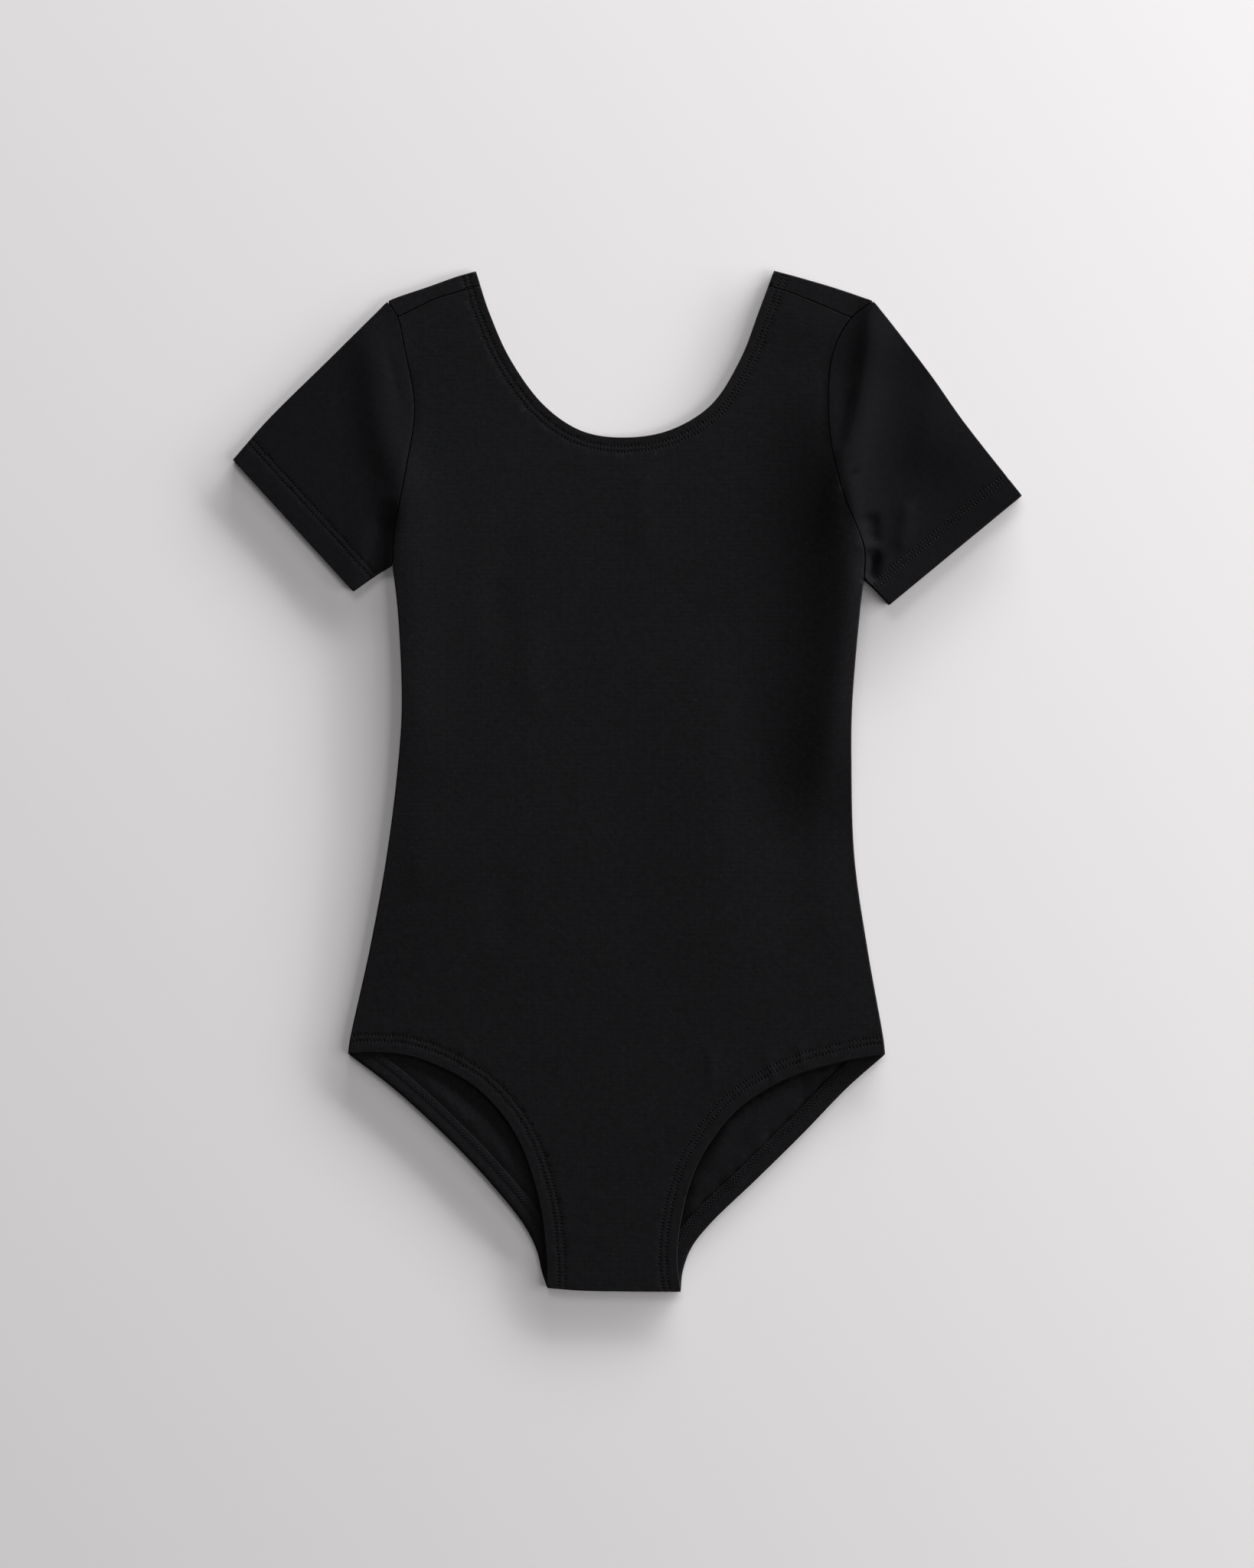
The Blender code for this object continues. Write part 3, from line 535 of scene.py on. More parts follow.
class Surface:
    """The outside of one layer above some points of the plan, from which any depth is found."""

    def __init__(self, xy, layer, on_turn=None, seam_gap=SEAM_GAP):
        away = np.full(len(xy), np.inf)
        self.inward = np.zeros((len(xy), 2))
        apart = np.zeros(len(xy))
        for line, sewn in PLAN.turned:
            near = np.flatnonzero(beside(xy, line, TURN_REACH))
            if len(near) == 0:
                continue
            distance, facing = nearest(xy[near], line)[:2]
            closer = distance < away[near]
            chosen = near[closer]
            away[chosen] = distance[closer]
            self.inward[chosen] = facing[closer]
            apart[chosen] = seam_gap / 2 if sewn else 0.0
        if on_turn is not None:
            away[on_turn] = 0.0
        self.xy = xy
        self.sign = 1 if layer == "front" else -1
        self.level = np.clip(1 - away / TURN_REACH, 0, 1)
        self.upright = np.sqrt(1 - self.level ** 2)
        if layer == "front":
            full = front_height(xy) - EDGE_HEIGHT
        else:
            full = EDGE_HEIGHT - back_height(xy)
        self.height = EDGE_HEIGHT + self.sign * (apart + (full - apart) * self.upright)

    def at_depth(self, depth):
        """The points at a depth below the outside."""
        plan = self.xy + self.inward * (depth * self.level)[:, None]
        return np.column_stack([plan, self.height - self.sign * depth * self.upright])


def mesh_piece(name, points, faces, material, smooth=True):
    """A mesh object from points in millimetres."""
    mesh = bpy.data.meshes.new(name)
    mesh.from_pydata((np.asarray(points) * MM).tolist(), [], faces)
    mesh.validate()
    if smooth:
        mesh.shade_smooth()
    mesh.materials.append(material)
    piece = bpy.data.objects.new(name, mesh)
    bpy.context.scene.collection.objects.link(piece)
    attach(piece, "root")
    return piece


class Cloth:
    """A piece of cloth: outside and inside points that belong together, and the outside faces."""

    def __init__(self):
        self.outside, self.inside, self.faces, self.places = [], [], [], {}

    def point(self, outside, inside):
        """The number of a point, which is used again where two layers meet on a turned edge."""
        key = tuple(np.round(outside, 4))
        if key not in self.places:
            self.places[key] = len(self.outside)
            self.outside.append(outside)
            self.inside.append(inside)
        return self.places[key]

    def add(self, outside, inside, faces, layer):
        """Adds one layer's points and faces, turned so that they face out."""
        numbers = [self.point(a, b) for a, b in zip(outside, inside)]
        for face in faces:
            face = [numbers[i] for i in face]
            if len(set(face)) == len(face):
                self.faces.append(face if layer == "front" else face[::-1])

    def build(self, name, material):
        """Makes the closed mesh object: both surfaces and the rim that joins them."""
        count = len(self.outside)
        faces = [list(face) for face in self.faces]
        faces += [[i + count for i in reversed(face)] for face in self.faces]
        directed = {(f[i - 1], f[i]) for f in self.faces for i in range(len(f))}
        rim = sorted(pair for pair in directed if pair[::-1] not in directed)
        faces += [[b, a, a + count, b + count] for a, b in rim]
        return mesh_piece(name, self.outside + self.inside, faces, material)


def eased(length):
    """Distances along a cut edge, closer near its ends, where the cloth may turn."""
    close = TURN_REACH * (1 - np.cos(np.radians((12, 25, 40, 60, 90))))
    middle = np.linspace(close[-1], length - close[-1], max(2, round(length / EDGE_STEP)))
    return np.unique(np.round(np.concatenate([[0.0, length], close, length - close, middle]), 6))


def outline(edges):
    """One closed line from edges that follow each other, and which of its points are turned."""
    ends = {}
    for k, (line, turned, _) in enumerate(edges):
        if turned:
            ends[k] = line[0]
            ends[(k + 1) % len(edges)] = line[-1]
    points, flags = [], []
    for k, (line, turned, _) in enumerate(edges):
        line = line.copy() if turned else at(line, eased(run(line)[-1]))
        line[0] = ends.get(k, line[0])
        line[-1] = ends.get((k + 1) % len(edges), line[-1])
        points.extend(line[:-1])
        flags.extend([turned or edges[k - 1][1]] + [turned] * (len(line) - 2))
    return np.array(points), np.array(flags)


def divided(edges, step, pins):
    """A flat piece divided into triangles: its points, which lie on a turned edge, its triangles.

    Each edge is its line, whether it is turned, and how far in from it extra rows of points lie.
    The pins are points that are kept where the piece has them.
    """
    loop, flags = outline(edges)
    placed, creases = [loop], []
    if len(pins):
        pins = pins[within(pins, loop)]
        tree = tree_of(loop)
        placed.append(pins[np.array([tree.find((*p, 0.0))[2] > 0.4 for p in pins], bool)])
    for line, _, rows in edges:
        for previous, distance in zip((0.0,) + rows, rows):
            row = moved(spaced(line, EDGE_STEP), distance)[1:-1]
            tree = tree_of(np.vstack(placed))
            room = min(0.5, 0.6 * (distance - previous))
            clear = within(row, loop) & [tree.find((*p, 0.0))[2] > room for p in row]
            number = len(np.vstack(placed)) + np.cumsum(clear) - 1
            creases += [
                (int(number[i]), int(number[i + 1]))
                for i in np.flatnonzero(clear[:-1] & clear[1:])
            ]
            placed.append(row[clear])
    low, high = loop.min(axis=0), loop.max(axis=0)
    columns = np.arange(low[0] + step / 2, high[0], step)
    rows = np.arange(low[1] + step / 2, high[1], step * 0.87)
    grid = np.array([(x + step / 2 * (k % 2), y) for k, y in enumerate(rows) for x in columns])
    grid = grid[within(grid, loop)]
    tree = tree_of(np.vstack(placed))
    clear = np.array([tree.find((*p, 0.0))[2] > step * 0.55 for p in grid], bool)
    placed = np.vstack(placed + [grid[clear]])
    border = list(range(len(loop)))
    made = delaunay_2d_cdt([tuple(p) for p in placed], creases, [border], 1, NEARLY_ZERO)
    xy = np.array([tuple(p) for p in made[0]])
    on_turn = np.array([any(i < len(loop) and flags[i] for i in source) for source in made[3]])
    return xy, on_turn, [tuple(face) for face in made[2]]


def tree_of(points):
    """A search tree of plan points."""
    tree = KDTree(len(points))
    for i, p in enumerate(points):
        tree.insert((*p, 0.0), i)
    tree.balance()
    return tree


# Rows of points beside an edge. The last row keeps the bend of the edge from showing further in.
TURN_ROWS = (*(TURN_REACH * (1 - math.cos(math.radians(angle))) for angle in (25, 45, 65, 90)), 0.8)
SEAM_ROWS = (0.15, SEAM_REACH, 0.58)
NOSE_ROWS = (0.08, NOSE_REACH, 0.38)
NECK_EDGE_ROWS = NOSE_ROWS + (2.2,)
LEG_EDGE_ROWS = NOSE_ROWS + (2.2, 4.0)
CUFF_EDGE_ROWS = NOSE_ROWS + (0.6, RIGHT_CUFF_REACH, 0.95, 2.3, 4.5, 8.0)

# Hems with stitches: kind, hand, distances of the rows from the edge
HEMS = (
    ("neck", None, NECK_ROWS),
    ("leg", "left", LEG_ROWS), ("leg", "right", LEG_ROWS),
    ("cuff", "left", CUFF_ROWS), ("cuff", "right", CUFF_ROWS),
)


def stitch_ends(line):
    """Where along a row the needle went in."""
    length = run(line)[-1]
    return np.linspace(0, length, round(length / STITCH) + 1)


def upper_rows():
    """The rows of stitches of the front layer."""
    return [PLAN.row(kind, hand, "front", row) for kind, hand, rows in HEMS for row in rows]


def needle_holes():
    """Where the needle went through the front layer, and how deep each hole is. It is uneven."""
    chance = np.random.default_rng(4)
    places = np.vstack([at(line, stitch_ends(line)) for line in upper_rows()])
    places = places + chance.normal(0, HOLE_JITTER, places.shape)
    return places, HOLE_DEPTH * chance.uniform(0.35, 1.2, len(places))


def stitch_grid():
    """Points along the rows that are close enough together to show each needle hole."""
    points = []
    for line in upper_rows():
        ends = stitch_ends(line)
        places = np.linspace(ends[0], ends[-1], 4 * len(ends) - 3)
        row = at(line, places)
        side = left_of(row)
        points += [row + side * offset for offset in (-0.95, -0.38, 0.0, 0.38, 0.95)]
    return np.vstack(points)


def drawn_in(xy, layer):
    """Depth of the outside where seams, hem edges and stitches draw the cloth in."""
    depth = np.zeros(len(xy))
    seams = [PLAN.armholes[hand, layer] for hand in ("left", "right")]
    if layer == "front":
        seams += [PLAN.shoulder_seams[hand] for hand in ("left", "right")]
    for line in seams:
        near = beside(xy, line, SEAM_REACH)
        away = nearest(xy[near], line)[0]
        depth[near] = np.maximum(depth[near], SEAM_DEPTH * quarter_round(away, SEAM_REACH))
    for kind, hand, rows in HEMS:
        line = PLAN.row(kind, hand, layer, 0.0)
        nose = CUFF_THICKNESS / 2 if kind == "cuff" else NOSE
        near = beside(xy, line, max(rows) + 3 * GROOVE_REACH)
        away = nearest(xy[near], line)[0]
        rounder = (kind, hand, layer) == ("cuff", "right", "front")
        drop = nose * quarter_round(away, RIGHT_CUFF_REACH if rounder else NOSE_REACH)
        for row in rows:
            drop += GROOVE_DEPTH * np.exp(-((away - row) / GROOVE_REACH) ** 2)
        depth[near] = np.maximum(depth[near], drop)
    if layer == "front":
        places, depths = needle_holes()
        tree = tree_of(places)
        found = [tree.find((*p, 0.0)) for p in xy]
        away = np.array([distance for _, _, distance in found])
        depth += depths[[index for _, index, _ in found]] * np.exp(-(away / HOLE_RADIUS) ** 2)
    return depth


def lay(cloth, edges, layer, step):
    """Adds one layer of a piece, given by its edges in plan."""
    xy, on_turn, faces = divided(edges, step, stitch_grid() if layer == "front" else [])
    surface = Surface(xy, layer, on_turn)
    outer = drawn_in(xy, layer)
    outer[on_turn] = 0.0
    inner = np.full(len(xy), CLOTH)
    for hand in ("left", "right"):
        away = nearest(xy, PLAN.cuffs[hand, layer])[0]
        nose = CUFF_THICKNESS / 2 * quarter_round(away, NOSE_REACH)
        inner += fade(away, CUFF_HEM, 0.8) * (CUFF_THICKNESS - CLOTH) - nose
    inner = np.maximum(inner, outer + 0.03)
    cloth.add(surface.at_depth(outer), surface.at_depth(inner), faces, layer)


def side_edge(hand):
    """The turned edge of the body at a side seam, down to the leg."""
    side = PLAN.sides[hand]
    part = stretch(side, SEAM_GAP / 2, 0) if hand == "left" else stretch(side, 0, -SEAM_GAP / 2)
    return spaced(part, EDGE_STEP), True, TURN_ROWS


def shoulder_fold(hand):
    """The turned edge of the back over a shoulder."""
    top = PLAN.tops[hand]
    if hand == "left":
        fold = stretch(top, 0, PLAN.tips[hand] - SEAM_GAP / 2)
    else:
        fold = stretch(top, PLAN.tips[hand] + SEAM_GAP / 2, 0)
    return spaced(fold, EDGE_STEP), True, TURN_ROWS


def seam_edge(line):
    """A sewn edge."""
    return moved(line, SEAM_GAP / 2), False, SEAM_ROWS


def crotch_seam():
    """The seam under the crotch, from left to right."""
    height = CROTCH_FOLD[0][1] + CROTCH_WRAP
    return curve(((CROTCH_FOLD[0][0] - 10, height), (CROTCH_FOLD[-1][0] + 10, height)))


def chained(edges):
    """Edges that follow each other, each cut edge trimmed where it crosses the cut edges beside it."""
    done = []
    for k, (line, turned, rows) in enumerate(edges):
        before, after = edges[k - 1], edges[(k + 1) % len(edges)]
        if not turned:
            start = None if before[1] else before[0]
            end = None if after[1] else after[0]
            line = trimmed(line, start, end)
        done.append((line, turned, rows))
    return done


def front_cloth(material):
    """The front, with the outside of its hems."""
    cloth = Cloth()
    lay(cloth, chained([
        (spaced(PLAN.crotch, EDGE_STEP), True, TURN_ROWS),
        (PLAN.legs["right", "front"], False, LEG_EDGE_ROWS),
        side_edge("right"),
        seam_edge(PLAN.armholes["right", "front"]),
        seam_edge(PLAN.shoulder_seams["right"][::-1]),
        (PLAN.necks["front"], False, NECK_EDGE_ROWS),
        seam_edge(PLAN.shoulder_seams["left"]),
        seam_edge(PLAN.armholes["left", "front"]),
        side_edge("left"),
        (PLAN.legs["left", "front"], False, LEG_EDGE_ROWS),
    ]), "front", FRONT_STEP)
    lay(cloth, chained([
        (spaced(PLAN.crotch, EDGE_STEP), True, TURN_ROWS),
        (PLAN.legs["right", "back"], False, NOSE_ROWS),
        seam_edge(crotch_seam()[::-1]),
        (PLAN.legs["left", "back"], False, NOSE_ROWS),
    ]), "back", BACK_STEP)
    return cloth.build("front_cloth", material)


def back_cloth(material):
    """The back, with the outside of its hems, and its part that comes over the shoulders."""
    cloth = Cloth()
    lay(cloth, chained([
        seam_edge(crotch_seam()),
        (PLAN.legs["right", "back"], False, LEG_EDGE_ROWS),
        side_edge("right"),
        seam_edge(PLAN.armholes["right", "back"]),
        shoulder_fold("right"),
        (PLAN.necks["back"], False, NECK_EDGE_ROWS),
        shoulder_fold("left"),
        seam_edge(PLAN.armholes["left", "back"]),
        side_edge("left"),
        (PLAN.legs["left", "back"], False, LEG_EDGE_ROWS),
    ]), "back", BACK_STEP)
    lay(cloth, chained([
        shoulder_fold("right"),
        (PLAN.necks["front"], False, NECK_EDGE_ROWS),
        seam_edge(PLAN.shoulder_seams["right"]),
        seam_edge(PLAN.armholes["right", "front"]),
    ]), "front", SLEEVE_STEP)
    lay(cloth, chained([
        shoulder_fold("left"),
        seam_edge(PLAN.armholes["left", "front"]),
        seam_edge(PLAN.shoulder_seams["left"][::-1]),
        (PLAN.necks["front"], False, NECK_EDGE_ROWS),
    ]), "front", SLEEVE_STEP)
    return cloth.build("back_cloth", material)


def sleeve_cloth(hand, material):
    """A sleeve with its hem, folded along its top and sewn under the arm."""
    cloth = Cloth()
    for layer in ("front", "back"):
        armhole = seam_edge(PLAN.armholes[hand, layer][::-1])
        cuff = (PLAN.cuffs[hand, layer], False, CUFF_EDGE_ROWS)
        if hand == "left":
            fold = stretch(PLAN.tops[hand], PLAN.tips[hand] + SEAM_GAP / 2, 0)
            under = stretch(PLAN.underarms[hand], 0, -SEAM_GAP / 2)
        else:
            fold = stretch(PLAN.tops[hand], 0, PLAN.tips[hand] - SEAM_GAP / 2)
            under = stretch(PLAN.underarms[hand], SEAM_GAP / 2, 0)
        fold = (spaced(fold, EDGE_STEP), True, TURN_ROWS)
        under = (spaced(under, EDGE_STEP), True, TURN_ROWS)
        edges = [fold, cuff, under, armhole] if hand == "left" else [under, cuff, fold, armhole]
        lay(cloth, edges, layer, SLEEVE_STEP)
    return cloth.build("sleeve_cloth_" + hand, material)


# Section of a hem's turning: how far in from the edge as a share of its width, and its depth
TURNING_SECTION = (
    (0.000, 1.05), (0.004, 0.90), (0.030, 0.78), (0.080, TURNING_TOP), (0.985, TURNING_TOP),
    (1.000, 0.90), (1.000, 1.48), (0.998, 1.51), (0.994, 1.52), (0.97, 1.52), (0.87, 1.52),
    (0.70, TURNING_BOTTOM), (0.63, 1.52), (0.58, 1.50), (0.53, 1.52), (0.30, 1.54),
    (0.120, TURNING_BOTTOM), (0.055, 1.45), (0.015, 1.25),
)


def turning(name, kind, hand, width, material):
    """The ring of cloth and elastic that is turned to the inside along a hem."""
    rings = []
    for layer in ("front", "back"):
        edge = PLAN.row(kind, hand, layer, 0.0)
        far = PLAN.row(kind, hand, layer, width)
        distances = eased(run(edge)[-1])
        along = run(edge)
        start = at(edge, distances)
        end = np.column_stack([np.interp(distances, along, far[:, axis]) for axis in (0, 1)])
        on_turn = np.zeros(len(start), bool)
        on_turn[[0, -1]] = True
        sections = [
            Surface(start + (end - start) * share, layer, on_turn, 0.0).at_depth(
                np.full(len(start), depth))
            for share, depth in TURNING_SECTION
        ]
        rings.append(np.stack(sections, axis=1))
    front, back = rings
    loop = np.concatenate([front, back[::-1][1:-1]])
    count, wide = loop.shape[:2]
    faces = []
    for i in range(count):
        for j in range(wide):
            a, b = i * wide + j, i * wide + (j + 1) % wide
            c, d = ((i + 1) % count) * wide + (j + 1) % wide, ((i + 1) % count) * wide + j
            faces.append((d, c, b, a))
    return mesh_piece(name, loop.reshape(-1, 3), faces, material)


def allowances(name, lines, material):
    """The sewn edges of the cloth that lie under some seams, each as a narrow strip."""
    points, faces = [], []
    for line, layer in lines:
        line = spaced(line, EDGE_STEP)
        side = left_of(line) * ALLOWANCE / 2
        base = len(points)
        corners = ((-1, ALLOWANCE_TOP), (1, ALLOWANCE_TOP), (1, ALLOWANCE_BOTTOM), (-1, ALLOWANCE_BOTTOM))
        ring = [
            Surface(line + side * hand, layer, seam_gap=0.0).at_depth(np.full(len(line), depth))
            for hand, depth in corners
        ]
        points.extend(np.stack(ring, axis=1).reshape(-1, 3))
        last = base + 4 * (len(line) - 1)
        strip = [(base + 3, base + 2, base + 1, base), (last, last + 1, last + 2, last + 3)]
        for i in range(len(line) - 1):
            for j in range(4):
                a, b = base + 4 * i + j, base + 4 * i + (j + 1) % 4
                strip.append((a, b, b + 4, a + 4))
        faces.extend(face[::-1] if layer == "front" else face for face in strip)
    return mesh_piece(name, points, faces, material)


def tubes(name, paths, radius, material, sides=6):
    """Round threads along paths of points, closed at both ends, as one mesh."""
    points, faces = [], []
    turn = np.arange(sides) * 2 * np.pi / sides
    for path in paths:
        path = np.asarray(path, float)
        ahead = unit(np.gradient(path, axis=0))
        side = unit(np.cross(ahead, (0.0, 0.0, 1.0)) + 1e-9)
        up = np.cross(side, ahead)
        base = len(points)
        ring = side[:, None] * np.cos(turn)[None, :, None] + up[:, None] * np.sin(turn)[None, :, None]
        points.extend((path[:, None] + ring * radius).reshape(-1, 3))
        for i in range(len(path) - 1):
            for j in range(sides):
                k = (j + 1) % sides
                a, b = base + i * sides + j, base + i * sides + k
                faces.append((a, a + sides, b + sides, b))
        last = base + (len(path) - 1) * sides
        faces.append(tuple(base + j for j in range(sides)))
        faces.append(tuple(last + j for j in reversed(range(sides))))
    return mesh_piece(name, points, faces, material)


# A stitch along its length: share of the stitch, depth
STITCH_PATH = ((0.08, 0.50), (0.18, 0.20), (0.35, 0.08), (0.65, 0.08), (0.82, 0.20), (0.92, 0.50))


def stitch_paths(line, layer):
    """Paths of the stitches along a row."""
    ends = stitch_ends(line)
    count = len(ends) - 1
    shares = np.array([share for share, _ in STITCH_PATH])
    depths = np.array([depth for _, depth in STITCH_PATH])
    places = ((np.arange(count)[:, None] + shares[None]) * ends[-1] / count).ravel()
    surface = Surface(at(line, places), layer)
    points = surface.at_depth(np.tile(depths, count) + GROOVE_DEPTH)
    return points.reshape(count, len(STITCH_PATH), 3)


def stitches(name, kind, hand, rows, material):
    """The twin rows of stitches of a hem, on both layers."""
    paths = []
    for layer in ("front", "back"):
        for distance in rows:
            paths.extend(stitch_paths(PLAN.row(kind, hand, layer, distance), layer))
    return tubes(name, paths, THREAD_RADIUS, material)


def loopers(name, hand, material):
    """The threads of the cover stitch on the inside of a leg hem, where the back shows."""
    line = PLAN.row("leg", hand, "back", sum(LEG_ROWS) / 2)
    length = run(line)[-1]
    reach = (LEG_ROWS[1] - LEG_ROWS[0]) / 2 + 0.3
    paths = []
    for phase in (0.0, 0.5):
        places = np.arange(3.0, length - 3.0, STITCH / 8)
        wave = 2 * np.pi * (places / (2 * STITCH) + phase)
        centre = at(line, places + 0.35 * STITCH * np.sin(2 * wave))
        side = left_of(at(line, places))
        xy = centre + side * (reach * np.sin(wave))[:, None]
        depth = TURNING_BOTTOM - 0.09 + 0.06 * np.cos(wave * 2 + phase)
        paths.append(Surface(xy, "back").at_depth(depth))
    return tubes(name, paths, THREAD_RADIUS * 0.85, material)


def jersey(name, colour, knit, turn=0.0):
    """Dull black cotton jersey: fine ribs that run at an angle, a soft mottle and a little lint."""
    material = bpy.data.materials.new(name)
    material.use_nodes = True
    nodes, links = material.node_tree.nodes, material.node_tree.links
    shader = nodes["Principled BSDF"]
    shader.inputs["Roughness"].default_value = 0.86
    shader.inputs["Specular IOR Level"].default_value = 0.05
    shader.inputs["Sheen Weight"].default_value = 0.02
    shader.inputs["Sheen Roughness"].default_value = 0.45
    shader.inputs["Sheen Tint"].default_value = (0.8, 0.82, 0.9, 1.0)
    place = nodes.new("ShaderNodeTexCoord")

    mottle = nodes.new("ShaderNodeTexNoise")
    mottle.inputs["Scale"].default_value = 420.0
    mottle.inputs["Detail"].default_value = 6.0
    mottle.inputs["Roughness"].default_value = 0.62
    links.new(place.outputs["Object"], mottle.inputs["Vector"])
    lint = nodes.new("ShaderNodeTexVoronoi")
    lint.inputs["Scale"].default_value = 150.0
    links.new(place.outputs["Object"], lint.inputs["Vector"])

    shade = nodes.new("ShaderNodeValToRGB")
    shade.color_ramp.elements[0].position = 0.30
    shade.color_ramp.elements[0].color = (*(c * 0.72 for c in colour), 1.0)
    shade.color_ramp.elements[1].position = 0.72
    shade.color_ramp.elements[1].color = (*(c * 1.30 for c in colour), 1.0)
    links.new(mottle.outputs["Fac"], shade.inputs["Fac"])
    speck = nodes.new("ShaderNodeValToRGB")
    speck.color_ramp.elements[0].position = 0.035
    speck.color_ramp.elements[0].color = (1.0, 1.0, 1.0, 1.0)
    speck.color_ramp.elements[1].position = 0.06
    speck.color_ramp.elements[1].color = (0.0, 0.0, 0.0, 1.0)
    links.new(lint.outputs["Distance"], speck.inputs["Fac"])
    mix = nodes.new("ShaderNodeMix")
    mix.data_type = "RGBA"
    mix.inputs["B"].default_value = (*(c * 3.0 for c in colour), 1.0)
    links.new(speck.outputs["Color"], mix.inputs["Factor"])
    links.new(shade.outputs["Color"], mix.inputs["A"])
    links.new(mix.outputs["Result"], shader.inputs["Base Color"])

    grain = nodes.new("ShaderNodeMapping")
    grain.inputs["Rotation"].default_value = (0.0, 0.0, math.radians(turn))
    links.new(place.outputs["Object"], grain.inputs["Vector"])
    ribs = nodes.new("ShaderNodeTexWave")
    ribs.bands_direction = "X"
    ribs.inputs["Scale"].default_value = 0.314 / (0.62 * MM)
    ribs.inputs["Distortion"].default_value = 0.6
    ribs.inputs["Detail"].default_value = 1.0
    ribs.inputs["Detail Scale"].default_value = 2.0
    links.new(grain.outputs["Vector"], ribs.inputs["Vector"])
    courses = nodes.new("ShaderNodeTexWave")
    courses.bands_direction = "Y"
    courses.inputs["Scale"].default_value = 0.314 / (0.5 * MM)
    courses.inputs["Distortion"].default_value = 1.0
    courses.inputs["Detail"].default_value = 1.0
    links.new(grain.outputs["Vector"], courses.inputs["Vector"])
    weave = nodes.new("ShaderNodeMath")
    weave.operation = "MULTIPLY"
    links.new(ribs.outputs["Fac"], weave.inputs[0])
    links.new(courses.outputs["Fac"], weave.inputs[1])
    fine = nodes.new("ShaderNodeBump")
    fine.inputs["Strength"].default_value = knit
    fine.inputs["Distance"].default_value = 0.10 * MM
    links.new(weave.outputs["Value"], fine.inputs["Height"])
    soft = nodes.new("ShaderNodeBump")
    soft.inputs["Strength"].default_value = 0.5
    soft.inputs["Distance"].default_value = 0.12 * MM
    links.new(mottle.outputs["Fac"], soft.inputs["Height"])
    links.new(fine.outputs["Normal"], soft.inputs["Normal"])
    links.new(soft.outputs["Normal"], shader.inputs["Normal"])
    return material


def thread(name, colour):
    """Twisted polyester thread, a little shinier than the cloth."""
    material = bpy.data.materials.new(name)
    material.use_nodes = True
    nodes, links = material.node_tree.nodes, material.node_tree.links
    shader = nodes["Principled BSDF"]
    shader.inputs["Roughness"].default_value = 0.55
    shader.inputs["Specular IOR Level"].default_value = 0.05
    place = nodes.new("ShaderNodeTexCoord")
    fibres = nodes.new("ShaderNodeTexNoise")
    fibres.inputs["Scale"].default_value = 2500.0
    fibres.inputs["Detail"].default_value = 2.0
    links.new(place.outputs["Object"], fibres.inputs["Vector"])
    shade = nodes.new("ShaderNodeValToRGB")
    shade.color_ramp.elements[0].color = (*(c * 0.6 for c in colour), 1.0)
    shade.color_ramp.elements[1].color = (*(c * 1.5 for c in colour), 1.0)
    links.new(fibres.outputs["Fac"], shade.inputs["Fac"])
    links.new(shade.outputs["Color"], shader.inputs["Base Color"])
    bump = nodes.new("ShaderNodeBump")
    bump.inputs["Strength"].default_value = 0.4
    bump.inputs["Distance"].default_value = 0.05 * MM
    links.new(fibres.outputs["Fac"], bump.inputs["Height"])
    links.new(bump.outputs["Normal"], shader.inputs["Normal"])
    return material


def floor():
    """The pale surface that the garment lies on."""
    material = bpy.data.materials.new("pale_surface")
    material.use_nodes = True
    shader = material.node_tree.nodes["Principled BSDF"]
    shader.inputs["Base Color"].default_value = (0.80, 0.775, 0.785, 1.0)
    shader.inputs["Roughness"].default_value = 0.9
    shader.inputs["Specular IOR Level"].default_value = 0.1
    mesh = bpy.data.meshes.new("floor")
    mesh.from_pydata([(-6, -6, 0), (6, -6, 0), (6, 6, 0), (-6, 6, 0)], [], [(0, 1, 2, 3)])
    mesh.materials.append(material)
    surface = bpy.data.objects.new("floor", mesh)
    bpy.context.scene.collection.objects.link(surface)


# Soft lights: azimuth and elevation seen from the garment, distance, width and height in degrees,
# power. The low ones make the long soft shadow and show every small slope of the cloth.
LIGHTS = (
    (4.0, 5.0, 4.5, 24.0, 5.0, 136.0),
    (30.0, 5.0, 4.5, 26.0, 5.0, 272.0),
    (55.0, 5.0, 4.5, 26.0, 5.0, 452.0),
    (80.0, 5.0, 4.5, 26.0, 5.0, 275.0),
    (0.0, 18.0, 2.2, 26.0, 10.0, 11.3),
    (-20.0, 32.0, 4.5, 26.0, 18.0, 54.0),
    (105.0, 32.0, 4.5, 26.0, 18.0, 43.0),
    (0.0, 90.0, 4.5, 30.0, 30.0, 19.0),
)
WORLD_LIGHT = 0.03


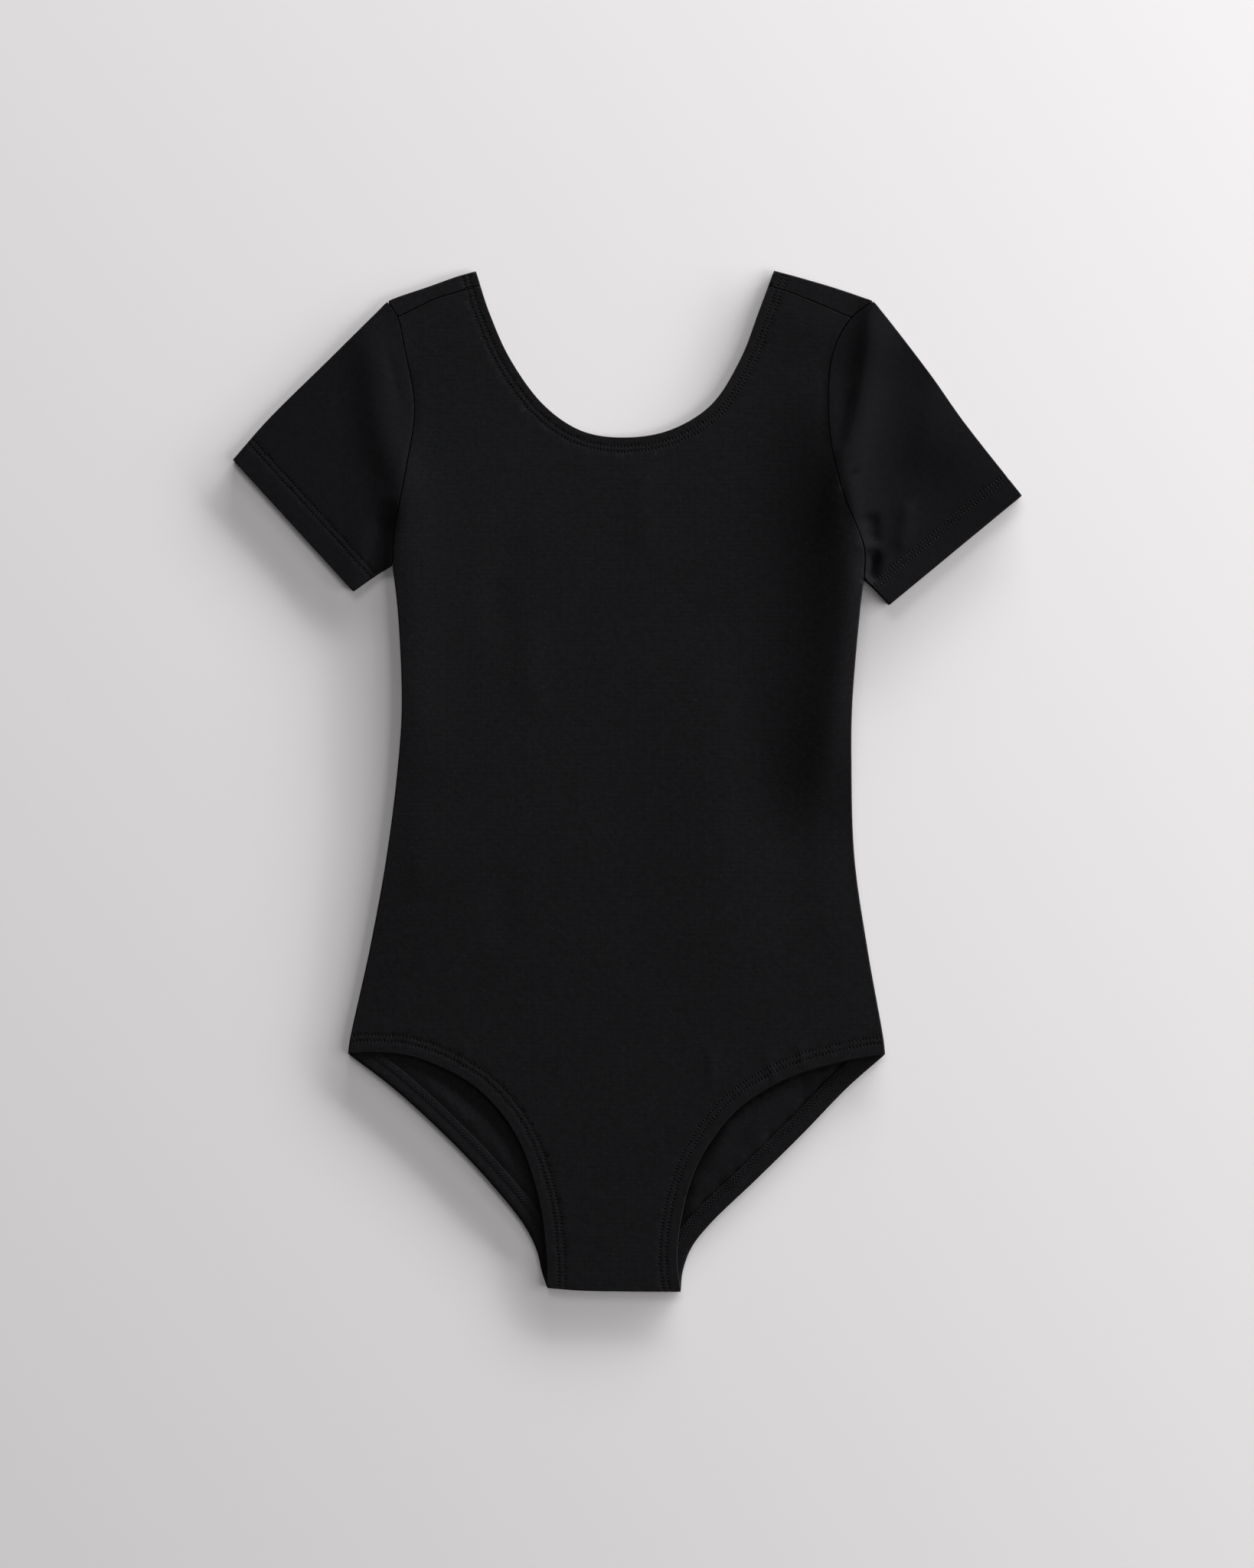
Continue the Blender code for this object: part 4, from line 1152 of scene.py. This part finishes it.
def lights():
    """A low bank of light from the right to the top, and higher lights at both its ends."""
    for number, (azimuth, elevation, distance, wide, high, power) in enumerate(LIGHTS):
        turn, rise = math.radians(azimuth), math.radians(elevation)
        place = distance * Vector((
            math.cos(turn) * math.cos(rise), math.sin(turn) * math.cos(rise), math.sin(rise)))
        data = bpy.data.lights.new("soft_light_%d" % number, "AREA")
        data.shape = "RECTANGLE"
        data.size = 2 * distance * math.tan(math.radians(wide / 2))
        data.size_y = 2 * distance * math.tan(math.radians(high / 2))
        data.energy = power
        light = bpy.data.objects.new(data.name, data)
        light.location = place
        light.rotation_euler = (-place).to_track_quat("-Z", "Y").to_euler()
        light.visible_camera = False
        bpy.context.scene.collection.objects.link(light)
    world = bpy.data.worlds.new("studio")
    world.use_nodes = True
    world.node_tree.nodes["Background"].inputs["Color"].default_value = (1.0, 1.0, 1.0, 1.0)
    world.node_tree.nodes["Background"].inputs["Strength"].default_value = WORLD_LIGHT
    bpy.context.scene.world = world
    bpy.context.scene.view_settings.view_transform = "Standard"


def camera():
    """Straight above, framed as the photo is."""
    distance, view_height, sensor = 2.5, 2048 * 0.42 * MM, 36.0
    data = bpy.data.cameras.new("camera")
    data.sensor_fit = "VERTICAL"
    data.sensor_height = sensor
    data.lens = sensor * distance / view_height
    eye = bpy.data.objects.new("camera", data)
    eye.location = (-0.2 * MM, -1.5 * MM, distance)
    bpy.context.scene.collection.objects.link(eye)
    bpy.context.scene.camera = eye


BLACK = (0.0062, 0.0061, 0.0070)
# Painted shade: the sleeves are the same jersey as the body, and their black is made darker to stand in
# for the shade on them.
SLEEVE_SHADED_BLACK = (0.0048, 0.0047, 0.0056)
THREAD_BLACK = (0.0058, 0.0060, 0.0070)
# Painted highlight: the cuffs are sewn with the same thread, and its black is made lighter to stand in
# for the light that the cuff stitches catch.
CUFF_THREAD_HIGHLIT_BLACK = (0.0112, 0.0112, 0.0125)


def main():
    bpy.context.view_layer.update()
    camera()
    lights()
    floor()
    body = jersey("black_jersey", BLACK, 0.3)
    turned = jersey("black_jersey_turned", BLACK, 0.3)
    sewing = thread("black_thread", THREAD_BLACK)
    # The cuff stitches get a lighter copy of the thread: painted highlight.
    highlit_cuff_sewing = thread("black_thread_cuffs_highlit", CUFF_THREAD_HIGHLIT_BLACK)

    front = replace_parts(front_cloth(body), "front_panel")
    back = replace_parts(back_cloth(body), "back_panel")
    sleeves = {}
    for hand, turn in (("left", 45.0), ("right", -40.0)):
        # The sleeves get a darker copy of the body's jersey: painted shade.
        cloth = jersey("black_jersey_sleeve_shaded_" + hand, SLEEVE_SHADED_BLACK, 0.3, turn)
        sleeves[hand] = sleeve_cloth(hand, cloth)
        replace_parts(sleeves[hand], "sleeve_" + hand)
    neck = turning("neck_turning", "neck", None, NECK_HEM_WIDTH, turned)
    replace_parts(neck, "neck_hem")
    neck_sewing = stitches("neck_stitches", "neck", None, NECK_ROWS, sewing)
    for hand in ("left", "right"):
        leg = turning("leg_turning_" + hand, "leg", hand, LEG_HEM_WIDTH, turned)
        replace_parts(leg, "leg_hem_" + hand)
        rows = stitches("leg_stitches_" + hand, "leg", hand, LEG_ROWS, sewing)
        loops = loopers("leg_loopers_" + hand, hand, sewing)

        rows = stitches("cuff_stitches_" + hand, "cuff", hand, CUFF_ROWS, highlit_cuff_sewing)
        ends = (0.4, -2.0) if hand == "left" else (2.0, -0.4)
        lines = [(stretch(PLAN.armholes[hand, layer], *ends), layer) for layer in ("front", "back")]
        sewn = allowances("armhole_allowance_" + hand, lines, turned)

    lines = [(stretch(PLAN.shoulder_seams[hand], 2.5, 0), "front") for hand in ("left", "right")]
    sewn = allowances("shoulder_allowances", lines, turned)


main()
